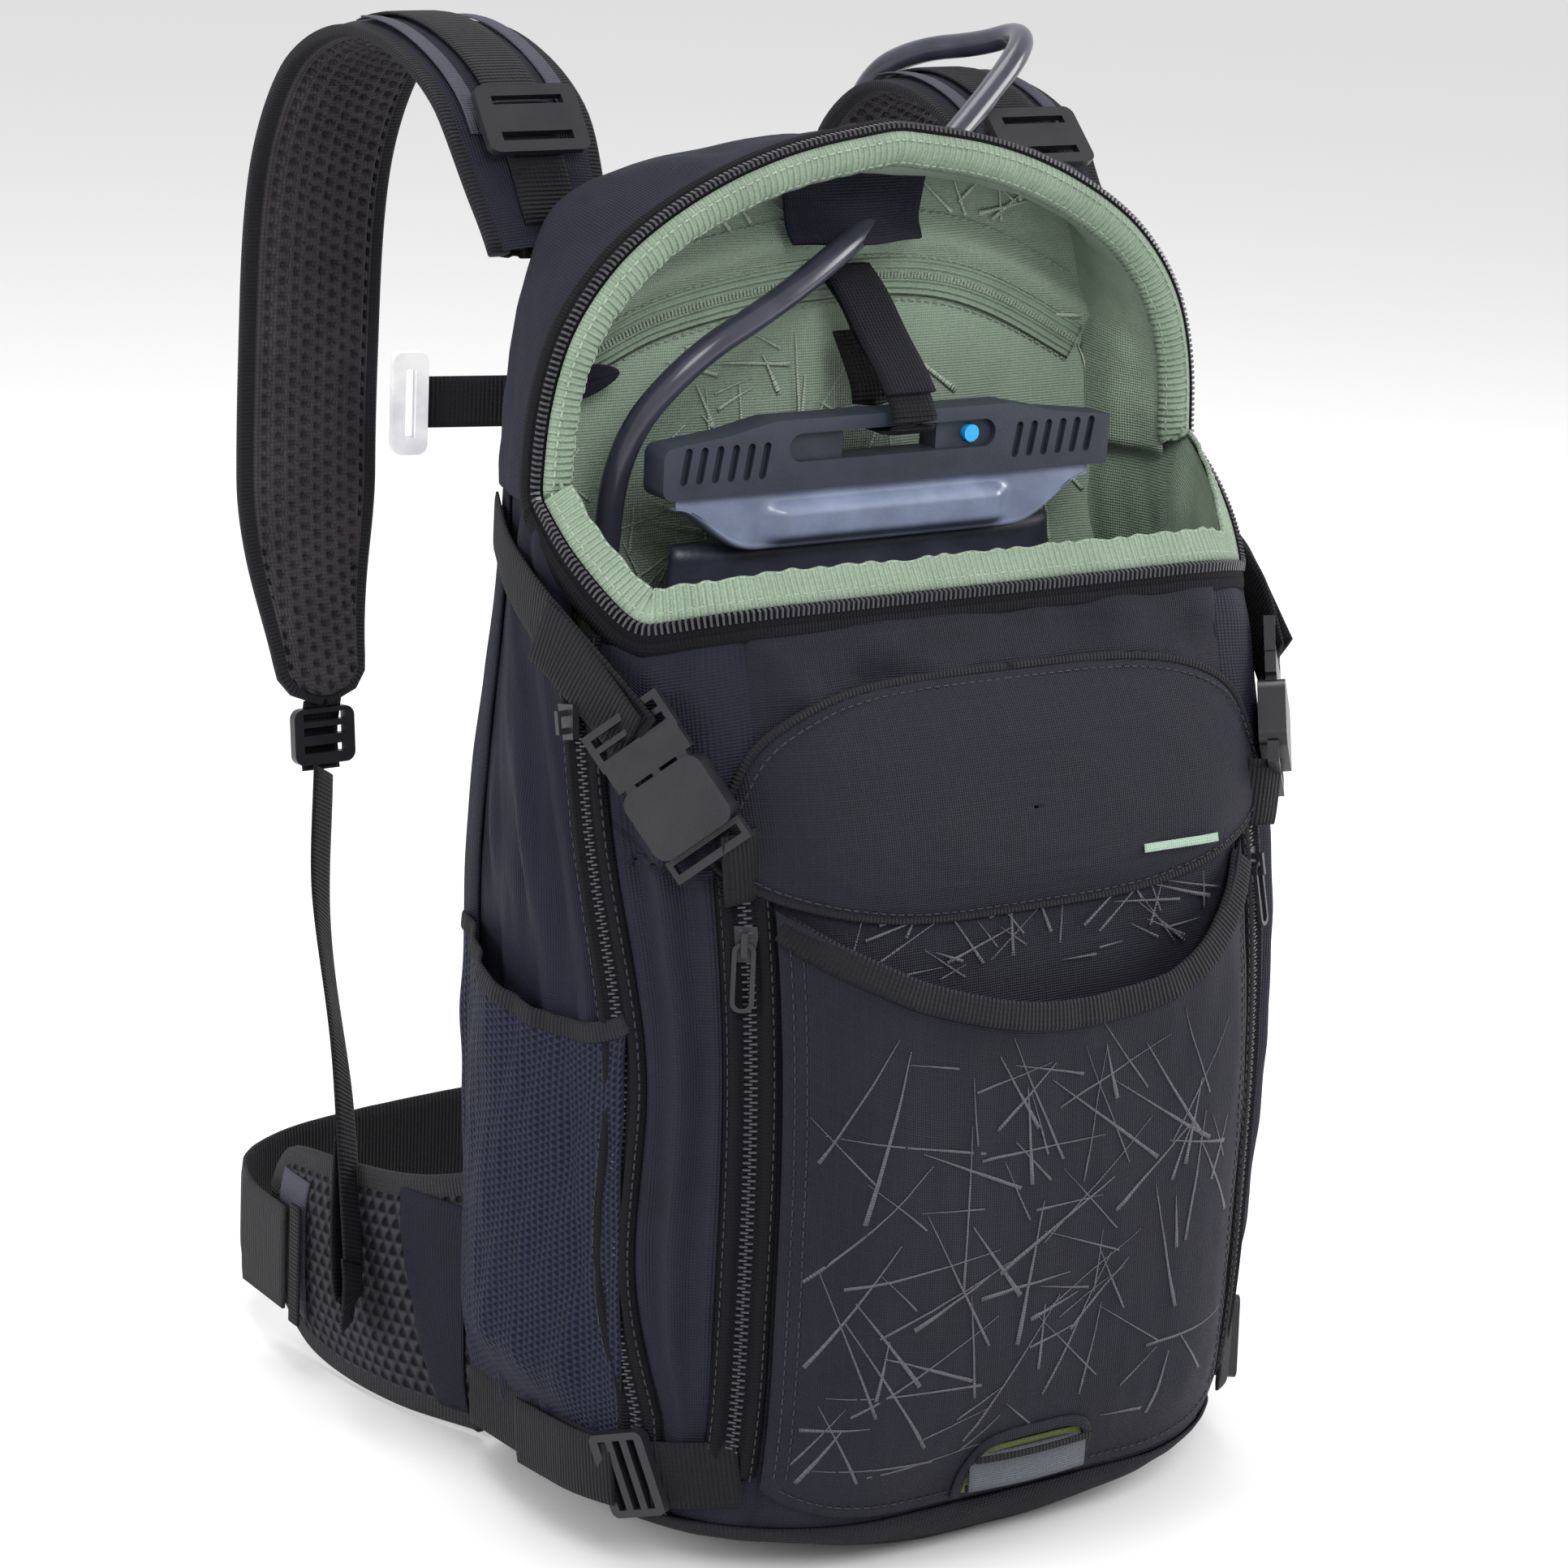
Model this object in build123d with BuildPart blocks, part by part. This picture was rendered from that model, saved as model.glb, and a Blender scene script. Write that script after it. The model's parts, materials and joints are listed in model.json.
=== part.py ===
"""Hydration pack: a soft shell on a frame sheet, with a reservoir, harness and hip belt.

Millimetres. X is across the back, +Y points at the wearer, +Z is up.
The origin is the centre of the flat base.
"""
from build123d import *
from math import radians, tan, pi
import os

os.makedirs("parts", exist_ok=True)

# ---------------------------------------------------------------- driving dimensions
BACK_Y = 78.0
FABRIC = 2.0
GAP = 0.3
BACK_CORNER = 16.0
SIDE_SIGN = {"left": -1, "right": 1}

# Height, half width and front of the lower shell.
SECTIONS = [
    (0.0, 112.0, -66.0),
    (12.0, 125.0, -80.0),
    (35.0, 132.0, -86.0),
    (90.0, 137.0, -88.0),
    (210.0, 141.0, -79.0),
    (350.0, 139.0, -39.0),
]
SEAM_Z = SECTIONS[-1][0]

# Half of the arch, X and Z, from the shell's seam to the crest.
ARCH = [(139, 330), (139, 366), (136, 400), (127, 427), (107, 451), (76, 470), (42, 482), (0, 489)]
BACK_ARCH = [(129, 330), (129, 366), (127, 402), (122, 436), (113, 459), (88, 472), (46, 477), (0, 479)]
ARCH_FRONT_Y = -14.0

RIM_Y = 28.0                     # plane of the arched rim
RIM_CORNER = (-20.0, 334.0)      # lowest place of the opening, at its front corners
RIM_FRONT = (-120.0, 372.0)      # where the sloping front rim runs out
RIM_BEND_Z = 371.0
ZIP_BAND = 11.0
BINDING_BAND = 26.0

FRONT_ZIP_X = 107.0
ZIP_HALF = 8.0
FRONT_ZIP_Z = (44.0, 258.0)
SIDE_ZIP_ROUTE = [(0.0, 318.0), (-12.0, 268.0), (-33.0, 190.0), (-31.0, 110.0), (-40.0, 62.0)]
BASE_TOP = 22.0
BACK_SEAM_Y = 60.0

POCKET_BULGE = 9.0
SIDE_POCKET_Z = (55.0, 203.0)
SIDE_POCKET_ARC = [(-129, -36), (-153, 22), (-139, 64)]

WEB_WIDTH = 25.0
WEB_THICK = 1.6

HOSE_DIAMETER = 9.5
HOSE_ROUTE = [
    (-34, 20, 88), (-62, 20, 90), (-90, 22, 108), (-104, 30, 150), (-107, 36, 214),
    (-104, 42, 282), (-104, 43, 340), (-103, 37, 384), (-80, 29, 413), (-46, 33, 428),
    (-12, 44, 443), (20, 62, 456), (52, 80, 468), (86, 97, 487), (112, 110, 504),
    (125, 128, 509), (123, 150, 502), (113, 178, 497), (108, 204, 484), (107, 219, 448),
    (107, 223, 390), (107, 223, 326),
]

BAR_HALF = 95.0
BAR_Y = (20.0, 33.0)
BAR_Z = (366.0, 391.0)
WINDOW_HALF = 20.0
WINDOW_Z = (376.0, 386.0)
HANGER_X = (-5.0, 13.0)

STRAP_WIDTH = 56.0
STRAP_THICK = 10.0
STRAP_X = 108.0
STRAP_ROUTES = {
    "left": [(86, 458), (110, 490), (150, 507), (190, 507), (226, 489), (250, 448),
             (257, 380), (255, 300), (240, 246)],
    "right": [(86, 456), (108, 477), (140, 487), (170, 483), (194, 462), (205, 420),
              (208, 370), (208, 300), (202, 246)],
}
STERNUM_Z = 358.0
BELT_Z = (22.0, 62.0)


# ---------------------------------------------------------------- helpers
def write(builder, name):
    """Label one finished sub-part and write its STEP file."""
    builder.part.label = name
    export_step(builder.part, f"parts/{name}.step")


def section_at(z):
    """Half width and front of the lower shell at height z."""
    for low, high in zip(SECTIONS, SECTIONS[1:]):
        if z <= high[0]:
            share = (z - low[0]) / (high[0] - low[0])
            return [a + share * (b - a) for a, b in zip(low[1:], high[1:])]
    return list(SECTIONS[-1][1:])


def corner_radius(front):
    """The front corners take nearly half of the depth."""
    return (BACK_Y - front) / 2 - 2


def lower_form(grow, bulge=0.0):
    """The shell below its seam, grown all round and bulged at the front, as one solid."""
    with BuildPart() as form:
        for height, half_width, front in SECTIONS:
            z = height if height == SEAM_Z else height * (SEAM_Z + grow) / SEAM_Z - grow
            near = front - grow - bulge
            depth = BACK_Y + grow - near
            with BuildSketch(Plane.XY.offset(z)) as outline:
                with Locations((0, near + depth / 2)):
                    Rectangle(2 * (half_width + grow), depth)
                fillet(outline.vertices().group_by(Axis.Y)[0], corner_radius(front) + grow)
                fillet(outline.vertices().group_by(Axis.Y)[-1], BACK_CORNER + grow)
        loft(ruled=True)
    return form.part


def arch_form(grow):
    """The arched top of the shell, which is squarer towards the wearer, as one solid."""
    with BuildPart() as form:
        for y, outline in ((ARCH_FRONT_Y, ARCH), (RIM_Y, ARCH), (BACK_Y + grow, BACK_ARCH)):
            side = [(x + grow if x else 0, z + grow * (z > ARCH[0][1])) for x, z in outline]
            mirrored = [(-x, z) for x, z in reversed(side[:-1])]
            with BuildSketch(Plane.XZ.offset(-y)):
                with BuildLine():
                    Polyline(*side, *mirrored, close=True)
                make_face()
        loft(ruled=True)
    return form.part


def front_prism(points, near=-130.0, far=0.0):
    """A prism along Y from a smooth closed outline in X and Z."""
    with BuildPart() as prism:
        with BuildSketch(Plane.XZ.offset(-far)):
            with BuildLine():
                Spline(*points, periodic=True)
            make_face()
        extrude(amount=far - near)
    return prism.part


def side_prism(points, low=-200.0, high=200.0):
    """A prism along X from an outline in Y and Z."""
    with BuildPart() as prism:
        with BuildSketch(Plane.YZ.offset(low)):
            with BuildLine():
                Polyline(*points, close=True)
            make_face()
        extrude(amount=high - low)
    return prism.part


def block(x_range, y_range, z_range):
    """A plain box between three ranges."""
    size = [high - low for low, high in (x_range, y_range, z_range)]
    middle = [(high + low) / 2 for low, high in (x_range, y_range, z_range)]
    return Pos(*middle) * Box(*size, mode=Mode.PRIVATE)


def side_range(sign, near, far):
    """The X range from near to far on one side of the pack."""
    return (min(sign * near, sign * far), max(sign * near, sign * far))


def rim_region(inset):
    """Everything above and in front of the opening, moved inwards by inset."""
    corner_y, corner_z = RIM_CORNER
    front_y, front_z = RIM_FRONT
    return side_prism([
        (RIM_Y + inset, 600), (RIM_Y + inset, RIM_BEND_Z - 0.6 * inset),
        (corner_y + 0.2 * inset, corner_z - inset), (front_y, front_z - inset), (front_y, 600)])


def ribbon(route, thick, low, high, plane=Plane.YZ):
    """A band of even thickness along a smooth route, between two offsets of a plane."""
    left, right = [], []
    for index, (u, v) in enumerate(route):
        before = route[max(index - 1, 0)]
        after = route[min(index + 1, len(route) - 1)]
        du, dv = after[0] - before[0], after[1] - before[1]
        half = thick / 2 / (du * du + dv * dv) ** 0.5
        left.append((u - half * dv, v + half * du))
        right.append((u + half * dv, v - half * du))
    with BuildPart() as band:
        with BuildSketch(plane.offset(low)):
            with BuildLine():
                Spline(*left)
                Line(left[-1], right[-1])
                Spline(*reversed(right))
                Line(right[0], left[0])
            make_face()
        extrude(amount=high - low)
    return band.part


def surface_point(x, z):
    """The point of the shell's front half at x and z."""
    half_width, front = section_at(z)
    radius = corner_radius(front)
    across = max(0.0, abs(x) - (half_width - radius))
    return Vector(x, front + radius - (radius * radius - across * across) ** 0.5, z)


def surface_normal(x, z):
    """The shell's outward normal there, from two short steps along the surface."""
    across = abs(x)
    here = surface_point(across, z)
    normal = (surface_point(across + 1, z) - here).cross(surface_point(across, z + 1) - here)
    return Vector(normal.X * (1 if x > 0 else -1), normal.Y, normal.Z).normalized()


def surface_plane(x, z, lift, uphill=(0, 0, 1)):
    """A plane lifted off the shell, its X axis along uphill as near as the surface allows."""
    point, normal = surface_point(x, z), surface_normal(x, z)
    along = Vector(*uphill)
    along = (along - normal * along.dot(normal)).normalized()
    return Plane(origin=point + normal * lift, x_dir=along, z_dir=normal)


def arc_radii(route):
    """The largest tangent arcs that the corners of a route leave room for."""
    radii = []
    for before, here, after in zip(route, route[1:], route[2:]):
        arriving = Vector(*here) - Vector(*before)
        leaving = Vector(*after) - Vector(*here)
        turn = radians(arriving.get_angle(leaving))
        radii.append(0.45 * min(arriving.length, leaving.length) / tan(turn / 2))
    return radii


def tube(route, diameter):
    """A round tube along straight runs joined by tangent arcs, and its length."""
    with BuildPart() as pipe:
        with BuildLine():
            path = FilletPolyline(*route, radius=arc_radii(route))
        with BuildSketch(Plane(origin=path @ 0, z_dir=path % 0)):
            Circle(diameter / 2)
        sweep()
    return pipe.part, path.length


def flat_strip(route, width, thick, wide_dir):
    """A strip of webbing along straight runs joined by small bends."""
    with BuildPart() as strip:
        with BuildLine():
            path = FilletPolyline(*route, radius=20) if len(route) > 2 else Line(*route)
        with BuildSketch(Plane(origin=path @ 0, x_dir=wide_dir, z_dir=path % 0)):
            Rectangle(width, thick)
        sweep()
    return strip.part


# ---------------------------------------------------------------- shared forms
opening = rim_region(0)
zip_region = rim_region(ZIP_BAND)
binding_region = rim_region(BINDING_BAND)
outer_lower = lower_form(0)
inner_lower = lower_form(-FABRIC)
lining_lower = lower_form(-FABRIC - GAP)
binding_lower = lower_form(-FABRIC - GAP - 1.4)
outer_arch = arch_form(0)
inner_arch = arch_form(-FABRIC)
lining_arch = arch_form(-FABRIC - GAP)
binding_arch = arch_form(-FABRIC - GAP - 1.4)
seam_gap = block((-200, 200), (-200, 200), (SEAM_Z - GAP, SEAM_Z + 10))
above_seam = block((-200, 200), (-200, 200), (SEAM_Z, 600))

hose_body, hose_length = tube(HOSE_ROUTE, HOSE_DIAMETER)
hose_clearance, _ = tube(HOSE_ROUTE, HOSE_DIAMETER + 1.0)
hose_section = pi * HOSE_DIAMETER ** 2 / 4
print("hose length", round(hose_length, 1), "volume ratio",
      round(hose_body.volume / (hose_section * hose_length), 5))
print("hose radii", [round(radius) for radius in arc_radii(HOSE_ROUTE)])

side_zip_front = [(y - ZIP_HALF, z) for y, z in SIDE_ZIP_ROUTE]
side_zip_back = [(y + ZIP_HALF, z) for y, z in SIDE_ZIP_ROUTE]
side_zip_region = side_prism(side_zip_front + side_zip_back[::-1])
ahead_of_side_zip = side_prism(
    [(-150, 400), (side_zip_front[0][0], 400)] + side_zip_front
    + [(side_zip_front[-1][0], BASE_TOP), (-150, BASE_TOP)])
behind_side_zip = side_prism(
    [(BACK_SEAM_Y, SEAM_Z), (side_zip_front[0][0], SEAM_Z)] + side_zip_front
    + [(side_zip_front[-1][0], BASE_TOP), (BACK_SEAM_Y, BASE_TOP)])
front_zip_bands = [
    block((side * FRONT_ZIP_X - ZIP_HALF, side * FRONT_ZIP_X + ZIP_HALF), (-110, 0), FRONT_ZIP_Z)
    for side in (-1, 1)
]
front_middle = block((ZIP_HALF - FRONT_ZIP_X, FRONT_ZIP_X - ZIP_HALF), (-130, 0), (BASE_TOP, 400))

# ---------------------------------------------------------------- sewn shell panels
with BuildPart() as front_panel:
    add(outer_lower)
    add(front_middle, mode=Mode.INTERSECT)
    add(inner_lower, mode=Mode.SUBTRACT)
    add(zip_region, mode=Mode.SUBTRACT)
write(front_panel, "front_panel")

with BuildPart() as side_gussets:
    add(outer_lower)
    add(ahead_of_side_zip, mode=Mode.INTERSECT)
    add(inner_lower, mode=Mode.SUBTRACT)
    add(zip_region, mode=Mode.SUBTRACT)
    add(front_middle, mode=Mode.SUBTRACT)
    add(front_zip_bands, mode=Mode.SUBTRACT)
write(side_gussets, "side_gussets")

with BuildPart() as side_panels:
    add(outer_lower)
    add(behind_side_zip, mode=Mode.INTERSECT)
    add(inner_lower, mode=Mode.SUBTRACT)
    add(zip_region, mode=Mode.SUBTRACT)
    add(side_zip_region, mode=Mode.SUBTRACT)
write(side_panels, "side_panels")

with BuildPart() as base_panel:
    add(outer_lower)
    add(block((-200, 200), (-200, BACK_SEAM_Y), (-1, BASE_TOP)), mode=Mode.INTERSECT)
    add(inner_lower, mode=Mode.SUBTRACT)
write(base_panel, "base_panel")

with BuildPart() as back_panel:
    add(outer_lower)
    add(block((-200, 200), (BACK_SEAM_Y, 200), (-1, SEAM_Z)), mode=Mode.INTERSECT)
    add(inner_lower, mode=Mode.SUBTRACT)
write(back_panel, "back_panel")

with BuildPart() as upper_shell:
    add(outer_arch)
    add(above_seam, mode=Mode.INTERSECT)
    add(inner_arch, mode=Mode.SUBTRACT)
    add(zip_region, mode=Mode.SUBTRACT)
    add(hose_clearance, mode=Mode.SUBTRACT)
write(upper_shell, "upper_shell")

with BuildPart() as main_zip:
    add(outer_arch)
    add(above_seam, mode=Mode.INTERSECT)
    add(zip_region, mode=Mode.INTERSECT)
    add(inner_arch, mode=Mode.SUBTRACT)
    with BuildPart(mode=Mode.PRIVATE) as front_tape:
        add(outer_lower)
        add(zip_region, mode=Mode.INTERSECT)
        add(inner_lower, mode=Mode.SUBTRACT)
        add(seam_gap, mode=Mode.SUBTRACT)
    add(front_tape.part)
    add(opening, mode=Mode.SUBTRACT)
write(main_zip, "main_zip")

with BuildPart() as rim_bindings:
    add(lining_arch)
    add(above_seam, mode=Mode.INTERSECT)
    add(binding_region, mode=Mode.INTERSECT)
    add(binding_arch, mode=Mode.SUBTRACT)
    with BuildPart(mode=Mode.PRIVATE) as front_band:
        add(lining_lower)
        add(binding_region, mode=Mode.INTERSECT)
        add(binding_lower, mode=Mode.SUBTRACT)
        add(seam_gap, mode=Mode.SUBTRACT)
    add(front_band.part)
    add(opening, mode=Mode.SUBTRACT)
write(rim_bindings, "rim_bindings")

with BuildPart() as front_zips:
    add(outer_lower)
    add(front_zip_bands, mode=Mode.INTERSECT)
    add(inner_lower, mode=Mode.SUBTRACT)
write(front_zips, "front_zips")

with BuildPart() as side_zips:
    add(outer_lower)
    add(side_zip_region, mode=Mode.INTERSECT)
    add(inner_lower, mode=Mode.SUBTRACT)
    add(zip_region, mode=Mode.SUBTRACT)
write(side_zips, "side_zips")

# ---------------------------------------------------------------- front pieces
HOOD_OUTLINE = [(0, 316), (60, 314), (92, 304), (107, 286), (112, 258), (62, 240), (0, 237),
                (-62, 240), (-112, 258), (-107, 286), (-92, 304), (-60, 314)]
hood_outside = lower_form(5.0)
hood_inside = lower_form(GAP)
with BuildPart() as hood_panel:
    add(front_prism(HOOD_OUTLINE, far=-30))
    add(hood_outside, mode=Mode.INTERSECT)
    add(hood_inside, mode=Mode.SUBTRACT)
write(hood_panel, "hood_panel")

POCKET_OUTLINE = [(0, 206), (-50, 217), (-84, 236), (-97, 226), (-98, 140), (-96, 60), (-78, 36),
                  (0, 31), (78, 36), (96, 60), (98, 140), (97, 226), (84, 236), (50, 217)]
POCKET_SPACE = [(0, 260), (-88, 260), (-90, 140), (-87, 66), (-70, 44), (0, 40),
                (70, 44), (87, 66), (90, 140), (88, 260)]
pocket_outside = lower_form(FABRIC, POCKET_BULGE)
pocket_inside = lower_form(0.4, POCKET_BULGE)
LIGHT_HALF = 24.0
LIGHT_Z = (29.0, 49.0)
light_window = block((-LIGHT_HALF, LIGHT_HALF), (-130, -40), (LIGHT_Z[0] - 10, LIGHT_Z[1]))
with BuildPart() as stash_pocket:
    add(front_prism(POCKET_OUTLINE, far=-30))
    add(pocket_outside, mode=Mode.INTERSECT)
    add(hood_inside, mode=Mode.SUBTRACT)
    with BuildPart(mode=Mode.PRIVATE) as space:
        add(front_prism(POCKET_SPACE, far=-30))
        add(pocket_inside, mode=Mode.INTERSECT)
    add(space.part, mode=Mode.SUBTRACT)
    add(light_window, mode=Mode.SUBTRACT)
write(stash_pocket, "stash_pocket")

MOUTH_BAND = [(0, 198), (-50, 209), (-84, 228), (-94, 242), (-86, 250), (-80, 238), (-47, 222),
              (0, 212), (47, 222), (80, 238), (86, 250), (94, 242), (84, 228), (50, 209)]
with BuildPart() as pocket_mouth_band:
    add(front_prism(MOUTH_BAND, far=-30))
    add(lower_form(FABRIC + GAP + 1.4, POCKET_BULGE), mode=Mode.INTERSECT)
    add(lower_form(FABRIC + GAP, POCKET_BULGE), mode=Mode.SUBTRACT)
write(pocket_mouth_band, "pocket_mouth_band")

LIGHT_STRAP_Y = -97.0
with BuildPart() as light_loop:
    with BuildSketch(Plane.XZ.offset(-LIGHT_STRAP_Y)):
        with Locations((0, sum(LIGHT_Z) / 2 - 2)):
            Rectangle(2 * LIGHT_HALF - 1, 13)
    extrude(amount=1.5)
write(light_loop, "light_loop")

# ---------------------------------------------------------------- side pockets
for side, sign in SIDE_SIGN.items():
    with BuildPart() as side_pocket:
        for inset, low in ((0.0, SIDE_POCKET_Z[0]), (1.6, SIDE_POCKET_Z[0] + 1.6)):
            rear, middle, front = [(-sign * (x + inset), y) for x, y in SIDE_POCKET_ARC]
            with BuildSketch(Plane.XY.offset(low)):
                with BuildLine():
                    ThreePointArc(rear, middle, front)
                    Line(front, (sign * 60, front[1]))
                    Line((sign * 60, front[1]), (sign * 60, rear[1]))
                    Line((sign * 60, rear[1]), rear)
                make_face()
            extrude(amount=SIDE_POCKET_Z[1] - low, mode=Mode.SUBTRACT if inset else Mode.ADD)
        add(hood_inside, mode=Mode.SUBTRACT)
    write(side_pocket, f"side_pocket_{side}")

# ---------------------------------------------------------------- compression straps
BUCKLE_X, BUCKLE_Z = 123.0, 288.0
BUCKLE_LIFT = 10.0
UPHILL = {"left": (-0.40, 0.50, 0.77), "right": (0.40, 0.50, 0.77)}
web_outside = lower_form(3.0)
web_inside = lower_form(3.0 - WEB_THICK)
BUCKLE_PLANES = {
    side: surface_plane(sign * BUCKLE_X, BUCKLE_Z, BUCKLE_LIFT, UPHILL[side])
    for side, sign in SIDE_SIGN.items()
}
with BuildPart() as upper_buckle_females:
    for buckle_plane in BUCKLE_PLANES.values():
        with BuildSketch(buckle_plane):
            with Locations((-12, 0)):
                RectangleRounded(26, 31, 5)
        extrude(amount=5, both=True)
        with BuildSketch(buckle_plane):
            with Locations((-8, 0)):
                Rectangle(21, 27)
        extrude(amount=3, both=True, mode=Mode.SUBTRACT)
        with BuildSketch(buckle_plane):
            with Locations((-29, 0)):
                Rectangle(8.4, 30)
            with Locations((-28.6, 0)):
                Rectangle(3.6, 26, mode=Mode.SUBTRACT)
        extrude(amount=2, both=True)
write(upper_buckle_females, "upper_buckle_females")

for side, sign in SIDE_SIGN.items():
    buckle_plane = BUCKLE_PLANES[side]
    with BuildPart() as male:
        with BuildSketch(buckle_plane):
            with Locations((7, 0)):
                Rectangle(9, 30)
            with Locations((18, 0)):
                Rectangle(14, 31)
            with Locations((16, 0), (21, 0)):
                Rectangle(3, 26, mode=Mode.SUBTRACT)
            with Locations((-6.5, 10.5), (-6.5, -10.5)):
                Rectangle(18, 4)
            with Locations((-4, 0)):
                Rectangle(14, 3)
        extrude(amount=2, both=True)
    write(male, f"upper_buckle_male_{side}")

    web_band = side_prism([(72, 340), (72, 366), (30, 350), (-12, 326), (-20, 304), (30, 325)])
    with BuildPart() as upper_strap:
        add(web_band)
        add(block(side_range(sign, 80, 200), (-60, 74), (200, SEAM_Z)), mode=Mode.INTERSECT)
        add(web_outside, mode=Mode.INTERSECT)
        add(web_inside, mode=Mode.SUBTRACT)
    write(upper_strap, f"upper_strap_{side}")

LOWER_BAND = [(72, 14), (-20, 20), (-46, 27), (-46, 53), (-20, 46), (72, 40)]
LOWER_FRONT_BAND = [(-50, 28), (-74, 36), (-74, 60), (-50, 52)]
with BuildPart() as lower_straps:
    for sign in SIDE_SIGN.values():
        with BuildPart(mode=Mode.PRIVATE) as one_side:
            add(side_prism(LOWER_BAND, *side_range(sign, 60, 200)))
            add(web_outside, mode=Mode.INTERSECT)
            add(hood_inside, mode=Mode.SUBTRACT)
        add(one_side.part)
    for sign in SIDE_SIGN.values():
        add(block(side_range(sign, 100, 200), (64, 90), (0, 80)), mode=Mode.SUBTRACT)
write(lower_straps, "lower_straps")

ADJUSTER_X, ADJUSTER_Z = 125.5, 40.0
for side, sign in SIDE_SIGN.items():
    adjuster_plane = surface_plane(sign * ADJUSTER_X, ADJUSTER_Z, 6.5, (0, 0.95, -0.3))
    with BuildPart() as adjuster:
        with BuildSketch(adjuster_plane):
            RectangleRounded(24, 31, 3)
            with Locations((-6.5, 0), (0, 0), (6.5, 0)):
                Rectangle(3.4, 25.6, mode=Mode.SUBTRACT)
        extrude(amount=2, both=True)
    write(adjuster, f"lower_adjuster_{side}")

# ---------------------------------------------------------------- zip sliders
PULL_LIFT = 3.7                  # the pull's height over the shell, in the middle of its bridge


def slider_form(plane):
    """A zip slider: a tapered body with a bridge that holds the pull."""
    with BuildPart() as slider:
        with BuildSketch(plane):
            with BuildLine():
                Polyline((-6, -3.2), (6, -5), (6, 5), (-6, 3.2), close=True)
            make_face()
        extrude(amount=2.4)
        with BuildSketch(plane.offset(2.4)):
            Rectangle(8, 2.2)
        extrude(amount=3.8)
        with BuildSketch(plane.offset(2.4)):
            Rectangle(4, 2.2)
        extrude(amount=2.6, mode=Mode.SUBTRACT)
    return slider.part


for side, sign in SIDE_SIGN.items():
    front_slide = surface_plane(sign * FRONT_ZIP_X, 234, 1.0)
    with BuildPart() as front_slider:
        add(slider_form(front_slide))
    write(front_slider, f"front_zip_slider_{side}")

    pull_plane = front_slide.offset(PULL_LIFT)
    with BuildPart() as front_pull:
        with BuildSketch(pull_plane):
            with Locations((-11, 0)):
                RectangleRounded(23.4, 8, 3.4)
        extrude(amount=0.7, both=True)
        with BuildSketch(pull_plane):
            with Locations((-11, 0)):
                RectangleRounded(20.6, 4.8, 2)
        extrude(amount=0.7, both=True, mode=Mode.SUBTRACT)
    write(front_pull, f"front_zip_pull_{side}")

    side_slide = Plane(origin=(sign * 142.2, -4.0, 300), x_dir=(0, 0.22, 0.97), z_dir=(sign, 0, 0))
    with BuildPart() as side_slider:
        add(slider_form(side_slide))
    write(side_slider, f"side_zip_slider_{side}")

# ---------------------------------------------------------------- frame and lining
with BuildPart() as frame_sheet:
    with BuildSketch(Plane.XZ.offset(-73.5)):
        with Locations((0, 212)):
            RectangleRounded(236, 404, 30)
    extrude(amount=1.5)
write(frame_sheet, "frame_sheet")

with BuildPart() as inner_pocket:
    with BuildSketch(Plane.XZ.offset(-70)):
        with Locations((0, 222)):
            RectangleRounded(228, 376, 26)
    extrude(amount=1.2)
write(inner_pocket, "inner_pocket")

with BuildPart() as inner_pocket_zip:
    add(ribbon([(-100, 386), (-52, 398), (0, 402), (52, 398), (100, 380)], 9, -68.4, -66.8,
               Plane(origin=(0, 0, 0), x_dir=(1, 0, 0), z_dir=(0, -1, 0))))
    with BuildSketch(Plane.XZ.offset(-64.8)):
        with Locations((-96, 384)):
            Ellipse(11, 5)
    extrude(amount=1.2, both=True)
write(inner_pocket_zip, "inner_pocket_zip")

with BuildPart() as back_pads:
    with BuildSketch(Plane.XZ.offset(-(BACK_Y + GAP))):
        with Locations((-60, 278), (60, 278)):
            RectangleRounded(84, 300, 26)
    extrude(amount=-11)
    with BuildSketch(Plane.XZ.offset(-(BACK_Y + GAP))):
        with Locations((0, 64)):
            RectangleRounded(196, 112, 26)
    extrude(amount=-15)
write(back_pads, "back_pads")

PORT_PLANE = Plane(origin=(-2, 50.5, 452.5), x_dir=(1, 0, 0), z_dir=(0, -0.92, -0.4))
with BuildPart() as hose_port:
    with BuildSketch(PORT_PLANE):
        Rectangle(60, 27)
    extrude(amount=1.2, both=True)
    add(hose_clearance, mode=Mode.SUBTRACT)
write(hose_port, "hose_port")

# ---------------------------------------------------------------- reservoir
with BuildPart() as reservoir_bag:
    for z, half_x, half_y in ((54, 60, 4), (70, 78, 14), (110, 84, 15), (240, 84, 13), (344, 80, 5)):
        with BuildSketch(Plane.XY.offset(z)):
            with Locations((0, 44 if z < 300 else 36)):
                RectangleRounded(2 * half_x, 2 * half_y, half_y * 0.8)
    loft(ruled=True)
write(reservoir_bag, "reservoir_bag")

with BuildPart() as reservoir_rail:
    with BuildSketch(Plane.XZ.offset(-31)):
        with BuildLine():
            Polyline((-88, 365.6), (-86, 353), (-60, 344.5), (60, 344.5), (86, 353), (88, 365.6),
                     close=True)
        make_face()
    extrude(amount=8)
    with BuildSketch(Plane.XZ.offset(-23)):
        with BuildLine():
            Polyline((-52, 360), (-44, 349), (44, 349), (52, 360), close=True)
        make_face()
    extrude(amount=5)
    with BuildSketch(Plane.XY.offset(344.4)):
        with Locations((0, 36)):
            Rectangle(160, 9.9)
    extrude(amount=8)
write(reservoir_rail, "reservoir_rail")

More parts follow.
